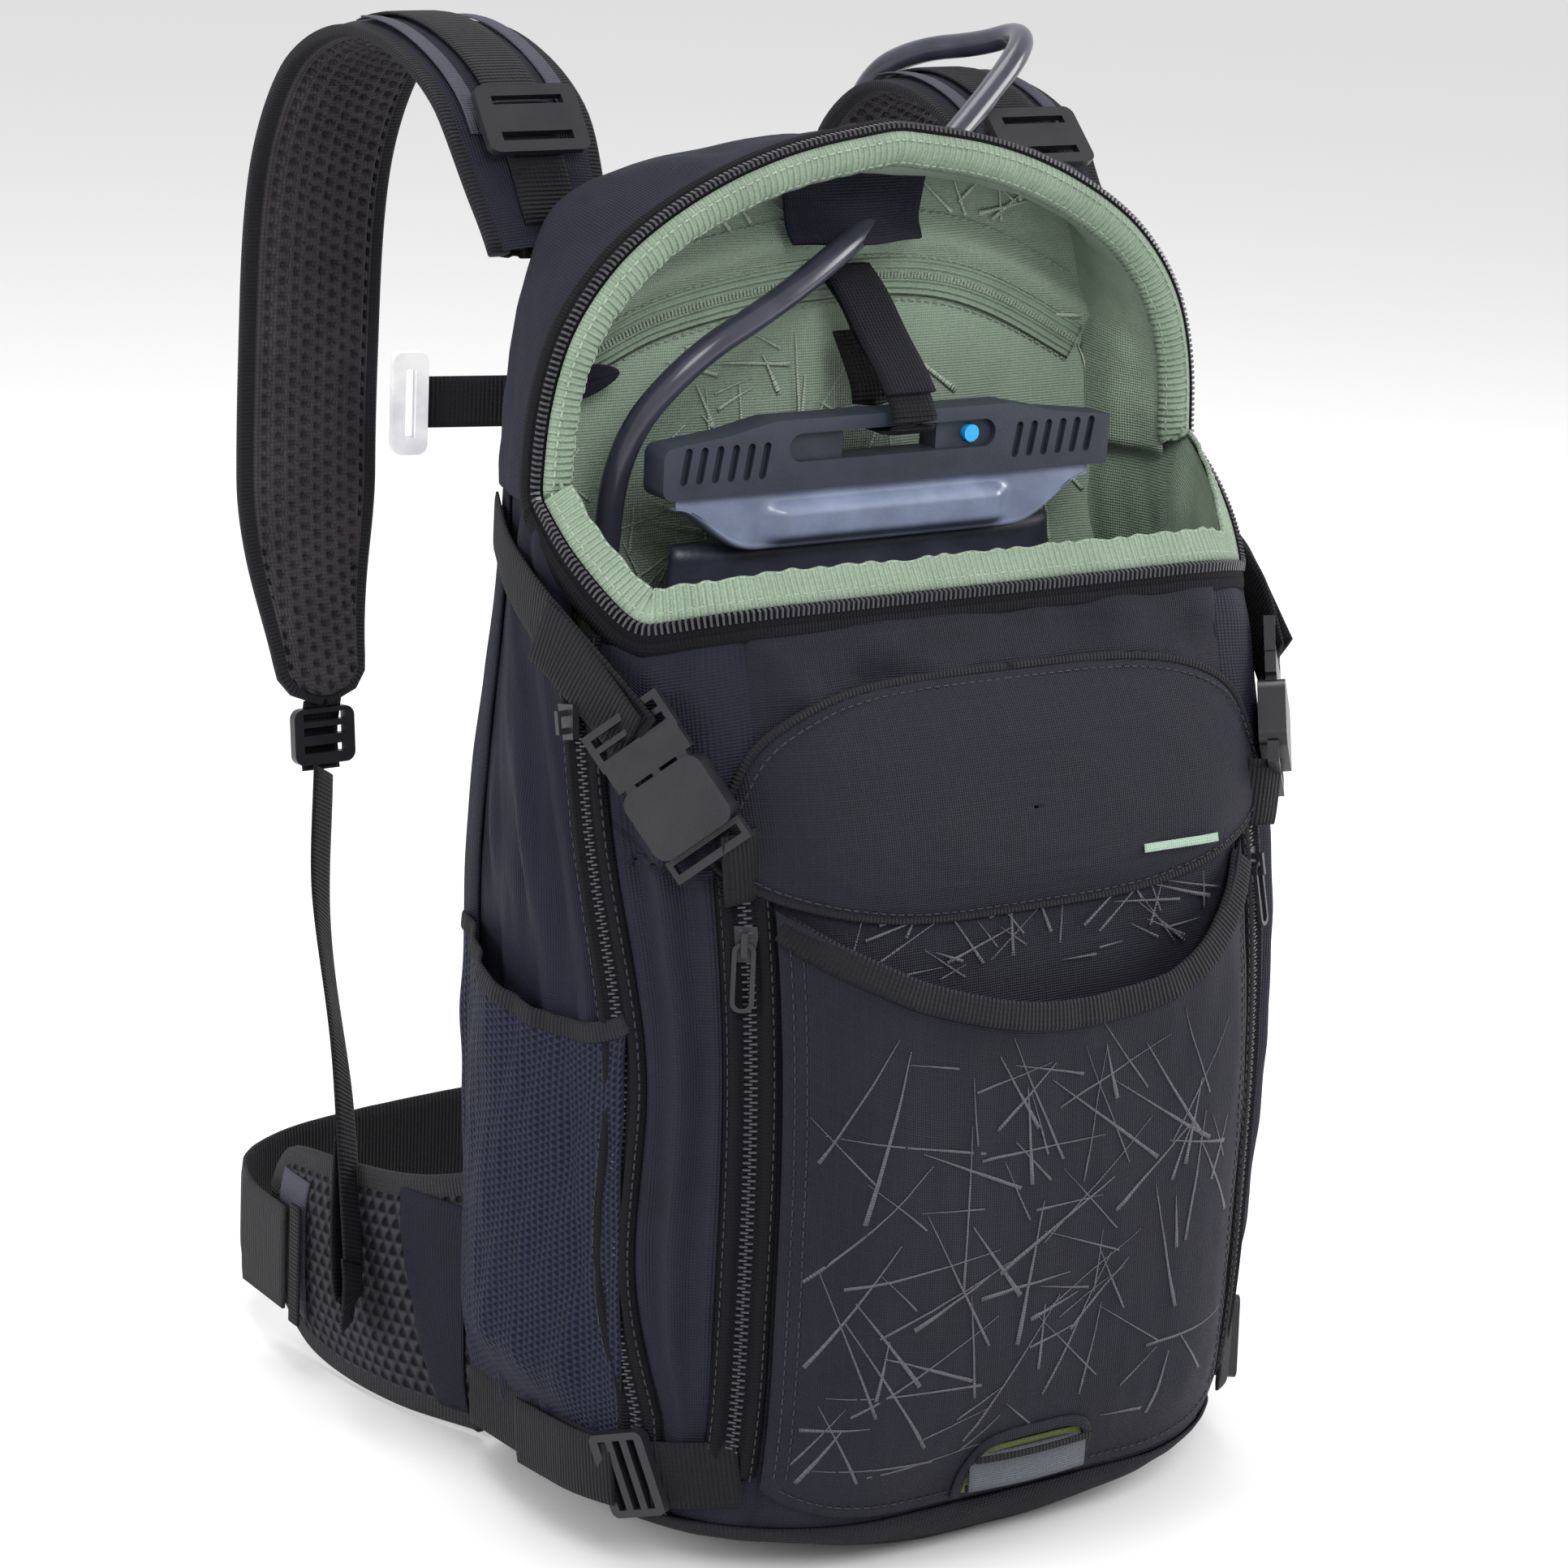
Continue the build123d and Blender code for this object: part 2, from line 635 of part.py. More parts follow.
RIB_STEP = 8.0
with BuildPart() as slide_bar:
    with BuildSketch(Plane.XZ.offset(-BAR_Y[1])):
        with BuildLine():
            Polyline((-BAR_HALF, BAR_Z[0]), (BAR_HALF, BAR_Z[0]), (BAR_HALF, BAR_Z[1] - 7),
                     (BAR_HALF - 26, BAR_Z[1] - 4), (50, BAR_Z[1]), (-50, BAR_Z[1]),
                     (26 - BAR_HALF, BAR_Z[1] - 4), (-BAR_HALF, BAR_Z[1] - 7), close=True)
        make_face()
    extrude(amount=BAR_Y[1] - BAR_Y[0])
    front_corners = slide_bar.edges().filter_by(Axis.Y)
    fillet(front_corners.sort_by(Axis.X)[:2], 4)
    with BuildSketch(Plane.XZ.offset(-BAR_Y[0])):
        with Locations((0, sum(WINDOW_Z) / 2)):
            SlotOverall(88, 10)
    extrude(amount=-3, mode=Mode.SUBTRACT)
    with BuildSketch(Plane.XZ.offset(-BAR_Y[0])):
        with Locations((0, sum(WINDOW_Z) / 2)):
            Rectangle(2 * WINDOW_HALF, 10)
    extrude(amount=-20, mode=Mode.SUBTRACT)
    with BuildSketch(Plane.XZ.offset(-BAR_Y[0])):
        with Locations(*[(side * (54 + RIB_STEP * rib / 1.25), 377.5)
                         for side in (-1, 1) for rib in range(6)]):
            SlotOverall(13, 3, rotation=80)
    extrude(amount=-2.2, mode=Mode.SUBTRACT)
    with Locations(Plane(origin=(34, BAR_Y[0] + 3, 381), z_dir=(0, -1, 0))):
        Hole(3.4, 4)
write(slide_bar, "reservoir_slide_bar")

with BuildPart() as slide_button:
    with BuildSketch(Plane.XZ.offset(-(BAR_Y[0] + 5))):
        with Locations((34, 381)):
            Circle(3.1)
    extrude(amount=4.4)
write(slide_button, "slide_button")

HANGER_ROUTE = [(66, 428), (46, 413), (28, 400), (16.2, 393), (13.6, 388.4), (16.6, 384.3),
                (27, 383.8), (36.5, 384.3), (38.6, 388), (41, 396), (52, 408), (66, 420)]
with BuildPart() as reservoir_hanger:
    add(ribbon(HANGER_ROUTE, WEB_THICK, *HANGER_X))
write(reservoir_hanger, "reservoir_hanger")

ELBOW_START = HOSE_ROUTE[0]
with BuildPart() as hose_elbow:
    with BuildSketch(Plane(origin=ELBOW_START, z_dir=Vector(*ELBOW_START) - Vector(*HOSE_ROUTE[1]))):
        Circle(7.5)
    extrude(amount=26)
    with BuildSketch(Plane(origin=(-14, ELBOW_START[1], ELBOW_START[2] - 1), z_dir=(0, 1, 0))):
        Circle(12)
    extrude(amount=9)
write(hose_elbow, "hose_elbow")

with BuildPart() as drink_hose:
    add(hose_body)
write(drink_hose, "drink_hose")

VALVE_X, VALVE_Y, VALVE_TOP = HOSE_ROUTE[-1]
with BuildPart() as bite_valve_body:
    with BuildSketch(Plane.XY.offset(VALVE_TOP - 26)):
        with Locations((VALVE_X, VALVE_Y)):
            Circle(7.5)
    extrude(amount=26)
write(bite_valve_body, "bite_valve_body")

with BuildPart() as bite_valve_sleeve:
    with BuildSketch(Plane.XY.offset(VALVE_TOP - 52)):
        with Locations((VALVE_X, VALVE_Y)):
            Circle(8.5)
    extrude(amount=25.7)
write(bite_valve_sleeve, "bite_valve_sleeve")

# ---------------------------------------------------------------- harness
for side, sign in SIDE_SIGN.items():
    low, high = side_range(sign, STRAP_X - STRAP_WIDTH / 2, STRAP_X + STRAP_WIDTH / 2)
    with BuildPart() as shoulder_strap:
        add(ribbon(STRAP_ROUTES[side], STRAP_THICK, low, high))
    write(shoulder_strap, f"shoulder_strap_{side}")


def on_strap(side, index, share, lift):
    """A plane on a strap's outer face, its X axis across the strap."""
    (y0, z0), (y1, z1) = STRAP_ROUTES[side][index:index + 2]
    along = Vector(0, y1 - y0, z1 - z0).normalized()
    normal = Vector(0, -along.Z, along.Y)
    origin = Vector(SIDE_SIGN[side] * STRAP_X, y0 + share * (y1 - y0), z0 + share * (z1 - z0))
    return Plane(origin=origin + normal * (STRAP_THICK / 2 + lift), x_dir=(1, 0, 0), z_dir=normal)


BRACE_SHARE = {"left": 0.7, "right": 0.52}
with BuildPart() as brace_links:
    for side, share in BRACE_SHARE.items():
        with BuildSketch(on_strap(side, 0, share, 4.2)):
            RectangleRounded(40, 26, 4)
            with Locations((0, 7), (0, -7)):
                Rectangle(28, 3.4, mode=Mode.SUBTRACT)
        extrude(amount=3)
write(brace_links, "brace_links")

STRAP_END = {side: route[-1] for side, route in STRAP_ROUTES.items()}
WING_ATTACH = (-151.0, 124.0, 60.0)
for side, sign in SIDE_SIGN.items():
    end_y, end_z = STRAP_END[side]
    ladder_plane = Plane(origin=(sign * STRAP_X, end_y, end_z - 16), x_dir=(1, 0, 0),
                         z_dir=(0, 1, -0.12))
    with BuildPart() as strap_ladder:
        with BuildSketch(ladder_plane):
            RectangleRounded(26, 22, 4)
            with Locations((0, 5), (0, -2), (0, -7.5)):
                Rectangle(18, 3.2, mode=Mode.SUBTRACT)
        extrude(amount=2, both=True)
    write(strap_ladder, f"strap_ladder_{side}")

with BuildPart() as strap_webbing:
    for side, sign in SIDE_SIGN.items():
        end_y, end_z = STRAP_END[side]
        add(flat_strip([(sign * STRAP_X, end_y - 1, end_z - 31),
                        (sign * 144, 162, 126),
                        (sign * -WING_ATTACH[0], WING_ATTACH[1], WING_ATTACH[2])],
                       16, WEB_THICK, (sign * 0.5, 0.87, 0)))
write(strap_webbing, "strap_webbing")

# ---------------------------------------------------------------- sternum strap
STERNUM_LEFT = Vector(-79.4, 245, STERNUM_Z)
STERNUM_RIGHT = Vector(79.4, 205, STERNUM_Z)
across = (STERNUM_RIGHT - STERNUM_LEFT).normalized()
sternum_plane = Plane(origin=(STERNUM_LEFT + STERNUM_RIGHT) * 0.5, x_dir=across,
                      z_dir=across.cross(Vector(0, 0, 1)))
SLIDER_WIDE = 14.0
half_span = (STERNUM_RIGHT - STERNUM_LEFT).length / 2
with BuildPart() as sternum_sliders:
    with BuildSketch(sternum_plane):
        for end in (-1, 1):
            with Locations((end * (half_span - SLIDER_WIDE / 2 - 1), 0)):
                RectangleRounded(SLIDER_WIDE, 40, 4)
                Rectangle(4, 27, mode=Mode.SUBTRACT)
    extrude(amount=2.5, both=True)
write(sternum_sliders, "sternum_sliders")

web_end = half_span - SLIDER_WIDE - 1.4
with BuildPart() as sternum_webs:
    with BuildSketch(sternum_plane):
        for end in (-1, 1):
            with Locations((end * (web_end + 25.4) / 2, 0)):
                Rectangle(web_end - 25.4, WEB_WIDTH)
    extrude(amount=WEB_THICK / 2, both=True)
write(sternum_webs, "sternum_webs")

with BuildPart() as sternum_buckle_female:
    with BuildSketch(sternum_plane):
        with Locations((-12, 0)):
            RectangleRounded(26, 30, 4)
    extrude(amount=4.5, both=True)
    with BuildSketch(sternum_plane):
        with Locations((-9, 0)):
            Rectangle(20.2, 26)
    extrude(amount=2.8, both=True, mode=Mode.SUBTRACT)
write(sternum_buckle_female, "sternum_buckle_female")

with BuildPart() as sternum_buckle_male:
    with BuildSketch(sternum_plane):
        with Locations((13.2, 0)):
            Rectangle(23.6, 30)
        with Locations((17, 0), (22, 0)):
            Rectangle(2.6, 26, mode=Mode.SUBTRACT)
        with Locations((-7, 10), (-7, -10)):
            Rectangle(20, 4)
    extrude(amount=2, both=True)
write(sternum_buckle_male, "sternum_buckle_male")

# ---------------------------------------------------------------- hip belt
WING_SHAPE = [(83, 100), (110, 92), (150, 84), (190, 78), (200, 66), (198, 26), (170, 8),
              (120, 7), (83, 8)]
for side, sign in SIDE_SIGN.items():
    route = [(sign * 122, 86), (sign * 135, 120), (sign * 141, 158), (sign * 142, 200)]
    with BuildPart() as hip_wing:
        add(ribbon(route, 8, 0, 130, Plane.XY))
        with BuildPart(mode=Mode.PRIVATE) as wing_shape:
            add(side_prism(WING_SHAPE))
        add(wing_shape.part, mode=Mode.INTERSECT)
    write(hip_wing, f"hip_wing_{side}")

BELT_ROUTE = [(-147.5, 176), (-148, 212), (-136, 243), (-98, 262), (0, 270), (98, 262),
              (136, 243), (148, 212), (147.5, 176)]
with BuildPart() as hip_belt:
    add(ribbon(BELT_ROUTE, 3, *BELT_Z, Plane.XY))
write(hip_belt, "hip_belt")

TAB_HINGE = (-151.6, 214.0)
with BuildPart() as hip_belt_tab:
    with BuildSketch(Plane.XY.offset(BELT_Z[0] - 2)):
        with Locations((TAB_HINGE[0] - 0.4, TAB_HINGE[1] - 17)):
            Rectangle(2.0, 34)
    extrude(amount=BELT_Z[1] - BELT_Z[0] + 4)
write(hip_belt_tab, "hip_belt_tab")

with BuildPart() as haul_loop:
    add(ribbon([(81, 452), (96, 458), (101, 468), (96, 477), (86, 480)], 3, -30, 30))
write(haul_loop, "haul_loop")

with BuildPart() as hose_loop:
    with BuildSketch(on_strap("right", 4, 0.5, 2.6)):
        Rectangle(20, 14)
    extrude(amount=1.2)
write(hose_loop, "hose_loop")

for side, sign in SIDE_SIGN.items():
    frames = {
        "buckle": BUCKLE_PLANES[side],
        "adjuster": surface_plane(sign * ADJUSTER_X, ADJUSTER_Z, 6.5, (0, 0.95, -0.3)),
        "front slider": surface_plane(sign * FRONT_ZIP_X, 234, 1.0),
    }
    for name, plane in frames.items():
        print(side, name, *[[round(c, 4) for c in v] for v in (plane.origin, plane.x_dir, plane.y_dir,
                                                               plane.z_dir)])
print("sternum", [round(c, 4) for c in across], [round(c, 1) for c in sternum_plane.origin])
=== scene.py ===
"""Looks of the hydration pack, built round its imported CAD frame.

Blender works in metres. The outlines here are in millimetres, as in the CAD source,
and mesh_piece turns them into metres.
"""
import json
import math
import random

import bpy
import numpy as np
from mathutils import Matrix, Vector, noise


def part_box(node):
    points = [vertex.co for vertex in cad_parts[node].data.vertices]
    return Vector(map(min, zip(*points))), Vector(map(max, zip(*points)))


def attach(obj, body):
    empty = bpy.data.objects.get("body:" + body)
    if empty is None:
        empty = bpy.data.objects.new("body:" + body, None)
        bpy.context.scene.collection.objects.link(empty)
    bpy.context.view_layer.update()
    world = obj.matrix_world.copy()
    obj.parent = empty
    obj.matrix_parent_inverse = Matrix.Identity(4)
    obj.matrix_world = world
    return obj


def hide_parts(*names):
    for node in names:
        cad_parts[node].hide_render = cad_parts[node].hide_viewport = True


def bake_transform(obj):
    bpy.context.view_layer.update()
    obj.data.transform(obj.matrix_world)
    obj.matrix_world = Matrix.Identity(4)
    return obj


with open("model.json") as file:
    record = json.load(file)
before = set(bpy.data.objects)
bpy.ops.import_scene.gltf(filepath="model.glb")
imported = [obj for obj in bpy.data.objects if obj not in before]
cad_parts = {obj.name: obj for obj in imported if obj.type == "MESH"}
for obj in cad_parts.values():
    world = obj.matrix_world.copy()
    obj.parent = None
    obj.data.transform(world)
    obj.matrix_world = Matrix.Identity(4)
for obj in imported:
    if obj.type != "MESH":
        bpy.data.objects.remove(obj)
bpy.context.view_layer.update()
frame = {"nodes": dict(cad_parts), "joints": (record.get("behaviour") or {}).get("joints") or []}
nodes = frame["nodes"]
MM = 0.001

# ---------------------------------------------------------------- dimensions shared with the CAD
SECTIONS = [(0, 112, -66), (12, 125, -80), (35, 132, -86), (90, 137, -88), (210, 141, -79), (350, 139, -39)]
BACK_Y = 78.0
BACK_CORNER = 16.0
ARCH = [(139, 366), (136, 400), (127, 427), (107, 451), (76, 470), (42, 482), (0, 489)]
BACK_ARCH = [(129, 366), (127, 402), (122, 436), (113, 459), (88, 472), (46, 477), (0, 479)]
NARROW = 0.07
RIM_Y = 28.0
RIM_CORNER = (-20.0, 334.0)
RIM_BEND_Z = 371.0
RIM_SLOPE = 0.38
BASE_TOP = 22.0
SEAM_TOP = 366.0
FRONT_ZIP_X = 107.0
ZIP_HALF = 8.0
FRONT_ZIP_Z = (44.0, 258.0)
SIDE_ZIP = [(62, -40), (110, -31), (190, -33), (268, -12), (318, 0)]
POCKET_BULGE = 9.0
HOSE_DIAMETER = 0.0095
HOSE_ROUTE = [
    (-34, 20, 88), (-62, 20, 90), (-90, 22, 108), (-104, 30, 150), (-107, 36, 214),
    (-104, 42, 282), (-104, 43, 340), (-103, 37, 384), (-80, 29, 413), (-46, 33, 428),
    (-12, 44, 443), (20, 62, 456), (52, 80, 468), (86, 97, 487), (112, 110, 504),
    (125, 128, 509), (123, 150, 502), (113, 178, 497), (108, 204, 484), (107, 219, 448),
    (107, 223, 390), (107, 223, 326),
]
STRAP_X = 108.0
STRAP_HALF = 28.0
STRAP_ROUTES = {
    -1: [(86, 458), (110, 490), (150, 507), (190, 507), (226, 489), (250, 448), (257, 380), (255, 300),
         (240, 246)],
    1: [(86, 456), (108, 477), (140, 487), (170, 483), (194, 462), (205, 420), (208, 370), (208, 300),
        (202, 246)],
}
FRONT = Vector((0, -1, 0))
SIDES = (-1, 1)
SIDE_NAME = {-1: "left", 1: "right"}


# ---------------------------------------------------------------- curves and surfaces
def through(rows, at):
    """A smooth curve through rows of (parameter, values...), read at one parameter."""
    at = min(max(at, rows[0][0]), rows[-1][0])
    k = max(i for i in range(len(rows) - 1) if rows[i][0] <= at)
    a, b = rows[k], rows[k + 1]
    before, after = rows[max(k - 1, 0)], rows[min(k + 2, len(rows) - 1)]
    h = b[0] - a[0]
    t = (at - a[0]) / h
    values = []
    for i in range(1, len(a)):
        leave = (b[i] - before[i]) / (b[0] - before[0])
        arrive = (after[i] - a[i]) / (after[0] - a[0])
        values.append((2 * t ** 3 - 3 * t ** 2 + 1) * a[i] + (t ** 3 - 2 * t ** 2 + t) * h * leave
                      + (3 * t ** 2 - 2 * t ** 3) * b[i] + (t ** 3 - t ** 2) * h * arrive)
    return values


def smooth_path(points, step):
    """Evenly spaced points on a smooth curve through the given ones."""
    rows, way = [], 0.0
    for index, point in enumerate(points):
        if index:
            way += (Vector(point) - Vector(points[index - 1])).length
        rows.append((way, *point))
    count = max(2, round(way / step))
    return [Vector(through(rows, way * i / count)) for i in range(count + 1)]


def ease(low, high, value):
    """0 below low, 1 above high, smooth between."""
    t = min(max((value - low) / (high - low), 0.0), 1.0)
    return t * t * (3 - 2 * t)


def mix(a, b, share):
    """The value that far from a to b."""
    return a + (b - a) * share


def metres(point):
    """A point in metres from one in millimetres."""
    return [c * MM for c in point]


def section(z):
    """Half width, front and front corner radius of the shell at height z."""
    half, front = through(SECTIONS, z)
    return half, front, (BACK_Y - front) / 2 - 2


def way_to_x(x, z):
    """The way round the shell, from its front's middle, to half width x."""
    half, front, radius = section(z)
    flat = half - radius
    return x if x < flat else flat + radius * math.asin(min(1, (x - flat) / radius))


def way_to_y(y, z):
    """The way round the shell, from its front's middle, to depth y."""
    half, front, radius = section(z)
    flat = half - radius
    if y < front + radius:
        return flat + radius * math.acos(min(1, (front + radius - y) / radius))
    return flat + radius * math.pi / 2 + y - front - radius


def shell(way, z, lift=0.0):
    """Point and outward normal of the shell, way millimetres round from its front's middle."""
    half, front, radius = section(z)
    side = 1 if way >= 0 else -1
    left = abs(way)
    flat, run = half - radius, BACK_Y - BACK_CORNER - front - radius
    if left < flat:
        x, y, nx, ny = left, front, 0.0, -1.0
    elif left < flat + radius * math.pi / 2:
        turn = (left - flat) / radius
        nx, ny = math.sin(turn), -math.cos(turn)
        x, y = flat + radius * nx, front + radius + radius * ny
    elif left < flat + radius * math.pi / 2 + run:
        x, y, nx, ny = half, front + radius + left - flat - radius * math.pi / 2, 1.0, 0.0
    elif left < flat + (radius + BACK_CORNER) * math.pi / 2 + run:
        turn = (left - flat - radius * math.pi / 2 - run) / BACK_CORNER
        nx, ny = math.cos(turn), math.sin(turn)
        x, y = half - BACK_CORNER + BACK_CORNER * nx, BACK_Y - BACK_CORNER + BACK_CORNER * ny
    else:
        past = left - flat - (radius + BACK_CORNER) * math.pi / 2 - run
        x, y, nx, ny = max(0.0, half - BACK_CORNER - past), BACK_Y, 0.0, 1.0
    x *= 1 - NARROW * ease(RIM_Y, BACK_Y, y) * ease(230, SEAM_TOP, z)
    return Vector((side * (x + lift * nx), y + lift * ny, z)), Vector((side * nx, ny, 0.0))


arch_rows = []
for index, corner in enumerate(ARCH):
    so_far = arch_rows[-1][0] + math.dist(corner, ARCH[index - 1]) if index else 0.0
    arch_rows.append((so_far, *corner, *BACK_ARCH[index]))
ARCH_LENGTH = arch_rows[-1][0]


def arch_outline(way, y):
    """X and Z of the arched top's half outline at depth y."""
    x, z, back_x, back_z = through(arch_rows, min(max(way, 0.0), ARCH_LENGTH))
    deep = ease(RIM_Y, BACK_Y, y)
    return mix(x, back_x, deep), mix(z, back_z, deep)


def arch(share, y, inset=0.0):
    """Point and outward normal of the arched top: share runs from the left seam, 0, to the right, 1."""
    side = -1 if share < 0.5 else 1
    way = ARCH_LENGTH * (1 - abs(2 * share - 1))
    x, z = arch_outline(way, y)
    ahead, behind = arch_outline(way + 1, y), arch_outline(way - 1, y)
    along = Vector((ahead[0] - behind[0], ahead[1] - behind[1])).normalized()
    if way > ARCH_LENGTH - 1:
        along = Vector((-1.0, 0.0))
    nx, nz = along.y, -along.x
    round_off = max(0.0, y - (BACK_Y - 14)) / 14
    shrink = inset + 12 * (1 - math.sqrt(max(0.0, 1 - min(1.0, round_off) ** 2)))
    return (Vector((side * (x - nx * shrink), y, z - nz * shrink)), Vector((side * nx, 0.0, nz)))


def arch_half(z, y):
    """Half width of the arched top at height z and depth y."""
    low, high = 0.0, ARCH_LENGTH
    for _ in range(20):
        way = (low + high) / 2
        low, high = (way, high) if arch_outline(way, y)[1] < z else (low, way)
    return arch_outline(low, y)[0]


def rim_height(y):
    """Height of the opening's edge at depth y."""
    corner_y, corner_z = RIM_CORNER
    if y < corner_y:
        return corner_z + RIM_SLOPE * (corner_y - y)
    return corner_z + (RIM_BEND_Z - corner_z) * (min(y, RIM_Y) - corner_y) / (RIM_Y - corner_y)


def edge_height(way):
    """Height of the opening's edge on the shell, way millimetres round from its front's middle."""
    z = 345.0
    for _ in range(6):
        z = rim_height(shell(way, z)[0].y)
    return z


def crumple(a, b, seed, size=1.0):
    """Soft uneven folds between about -1 and 1."""
    return noise.noise(Vector((a, b, seed)) / size)


# ---------------------------------------------------------------- materials
def material(name, colour, rough, build=None, **sockets):
    """A principled material. build(nodes, links, shader) adds its procedural detail."""
    made = bpy.data.materials.new(name)
    made.use_nodes = True
    tree = made.node_tree
    shader = tree.nodes["Principled BSDF"]
    shader.inputs["Base Color"].default_value = (*colour, 1)
    shader.inputs["Roughness"].default_value = rough
    for socket, value in sockets.items():
        shader.inputs[socket.replace("_", " ")].default_value = value
    if build:
        build(tree, shader, colour, rough)
    return made


def node(tree, kind, **settings):
    """A node of one kind. Settings named in_X or in_0 set its inputs."""
    made = tree.nodes.new(kind)
    for key, value in settings.items():
        if key.startswith("in_"):
            socket = key[3:]
            made.inputs[int(socket) if socket.isdigit() else socket].default_value = value
        else:
            setattr(made, key, value)
    return made


def shade_by(tree, shader, colour, factor, dark, light):
    """Base colour that runs from dark to light times the colour, by a factor socket."""
    ramp = node(tree, "ShaderNodeValToRGB")
    for element, share in zip(ramp.color_ramp.elements, (dark, light)):
        element.color = (*[min(1.0, c * share) for c in colour], 1)
    ramp.color_ramp.elements[0].position = 0.25
    ramp.color_ramp.elements[1].position = 0.75
    tree.links.new(factor, ramp.inputs["Fac"])
    tree.links.new(ramp.outputs["Color"], shader.inputs["Base Color"])
    return ramp


def bump(tree, shader, height, distance, strength=1.0):
    """Bump from a height socket, distance in metres."""
    made = node(tree, "ShaderNodeBump", in_Distance=distance, in_Strength=strength)
    tree.links.new(height, made.inputs["Height"])
    tree.links.new(made.outputs["Normal"], shader.inputs["Normal"])


def math_node(tree, operation, first, second=None):
    """A math node from sockets or numbers."""
    made = node(tree, "ShaderNodeMath", operation=operation)
    for index, value in enumerate((first, second)):
        if value is None:
            continue
        if isinstance(value, (int, float)):
            made.inputs[index].default_value = value
        else:
            tree.links.new(value, made.inputs[index])
    return made.outputs[0]


def times(tree, first, second):
    """The product of two sockets or numbers."""
    return math_node(tree, "MULTIPLY", first, second)


def plus(tree, first, second):
    """The sum of two sockets or numbers."""
    return math_node(tree, "ADD", first, second)


def woven(pitch, line_pitch=0.0, line_width=0.12, ribs=(1, 1), lift=0.00025, contrast=0.22, by="UV"):
    """A weave of that pitch in metres, with ripstop lines where line_pitch is given, and painted shade that
    darkens the hollows between threads.
    """
    def build(tree, shader, colour, rough):
        place = node(tree, "ShaderNodeTexCoord")
        split = node(tree, "ShaderNodeSeparateXYZ")
        tree.links.new(place.outputs[by], split.inputs[0])
        axes = [split.outputs[0], split.outputs[1 if by == "UV" else 2]]
        waves = []
        for axis, strength in zip(axes, ribs):
            turn = times(tree, axis, 2 * math.pi / pitch)
            waves.append(times(tree, math_node(tree, "SINE", turn), 0.5 * strength))
        weave = plus(tree, *waves)
        cloud = node(tree, "ShaderNodeTexNoise", in_Scale=38.0, in_Detail=5.0, in_Roughness=0.65)
        tree.links.new(place.outputs["Object"], cloud.inputs["Vector"])
        fine = node(tree, "ShaderNodeTexNoise", in_Scale=1500.0, in_Detail=2.0)
        tree.links.new(place.outputs["Object"], fine.inputs["Vector"])
        tone = plus(tree, times(tree, cloud.outputs["Fac"], 0.7), times(tree, fine.outputs["Fac"], 0.3))
        height = plus(tree, weave, times(tree, fine.outputs["Fac"], 1.0))
        if line_pitch:
            lines = []
            for axis in axes:
                share = math_node(tree, "FRACT", math_node(tree, "DIVIDE", axis, line_pitch))
                lines.append(math_node(tree, "LESS_THAN", share, line_width))
            grid_lines = math_node(tree, "MAXIMUM", *lines)
            height = plus(tree, height, times(tree, grid_lines, 1.4))
            tone = plus(tree, tone, times(tree, grid_lines, 0.16))
        # painted shade: the weave's raised threads are painted lighter and the hollows between them darker
        tone = plus(tree, tone, times(tree, weave, 0.10))
        shade_by(tree, shader, colour, tone, 1 - contrast, 1 + contrast)
        gloss = plus(tree, times(tree, cloud.outputs["Fac"], 0.25), rough - 0.12)
        tree.links.new(gloss, shader.inputs["Roughness"])
        bump(tree, shader, height, lift)
    return build


def netted(pitch, depth=0.0006, contrast=0.35):
    """A net of small triangular holes, from three waves that cross at 60 degrees, with the holes darkened as
    painted shade.
    """
    def build(tree, shader, colour, rough):
        place = node(tree, "ShaderNodeTexCoord")
        split = node(tree, "ShaderNodeSeparateXYZ")
        tree.links.new(place.outputs["UV"], split.inputs[0])
        u, v = split.outputs[0], split.outputs[1]
        total = None
        for cosine, sine in ((1, 0), (-0.5, 0.866), (-0.5, -0.866)):
            turn = 2 * math.pi / pitch
            along = plus(tree, times(tree, u, cosine * turn), times(tree, v, sine * turn))
            wave = math_node(tree, "SINE", along)
            total = wave if total is None else plus(tree, total, wave)
        hole = plus(tree, times(tree, total, -0.28), 0.5)
        # painted shade: the holes, where the bump dips, are painted darker than the threads
        shade_by(tree, shader, colour, hole, 1 - contrast, 1 + contrast)
        bump(tree, shader, hole, depth)
    return build


def moulded(grain=900.0, depth=0.00008, curvature_shade=0.35):
    """Moulded plastic: fine grain, cloudy gloss, and painted shade from pointiness, darker in creases and
    hollows and paler on sharp edges.
    """
    def build(tree, shader, colour, rough):
        place = node(tree, "ShaderNodeTexCoord")
        fine = node(tree, "ShaderNodeTexNoise", in_Scale=grain, in_Detail=3.0)
        cloud = node(tree, "ShaderNodeTexNoise", in_Scale=60.0, in_Detail=3.0)
        for texture in (fine, cloud):
            tree.links.new(place.outputs["Object"], texture.inputs["Vector"])
        edge = node(tree, "ShaderNodeNewGeometry")
        # painted shade: pointiness darkens creases and hollows and makes sharp edges paler
        painted_curvature_shade = times(tree, math_node(tree, "SUBTRACT", edge.outputs["Pointiness"], 0.5), curvature_shade * 8)
        tone = plus(tree, cloud.outputs["Fac"], painted_curvature_shade)
        shade_by(tree, shader, colour, tone, 0.8, 1.35)
        gloss = plus(tree, times(tree, cloud.outputs["Fac"], 0.2), rough - 0.1)
        tree.links.new(gloss, shader.inputs["Roughness"])
        bump(tree, shader, fine.outputs["Fac"], depth)
    return build


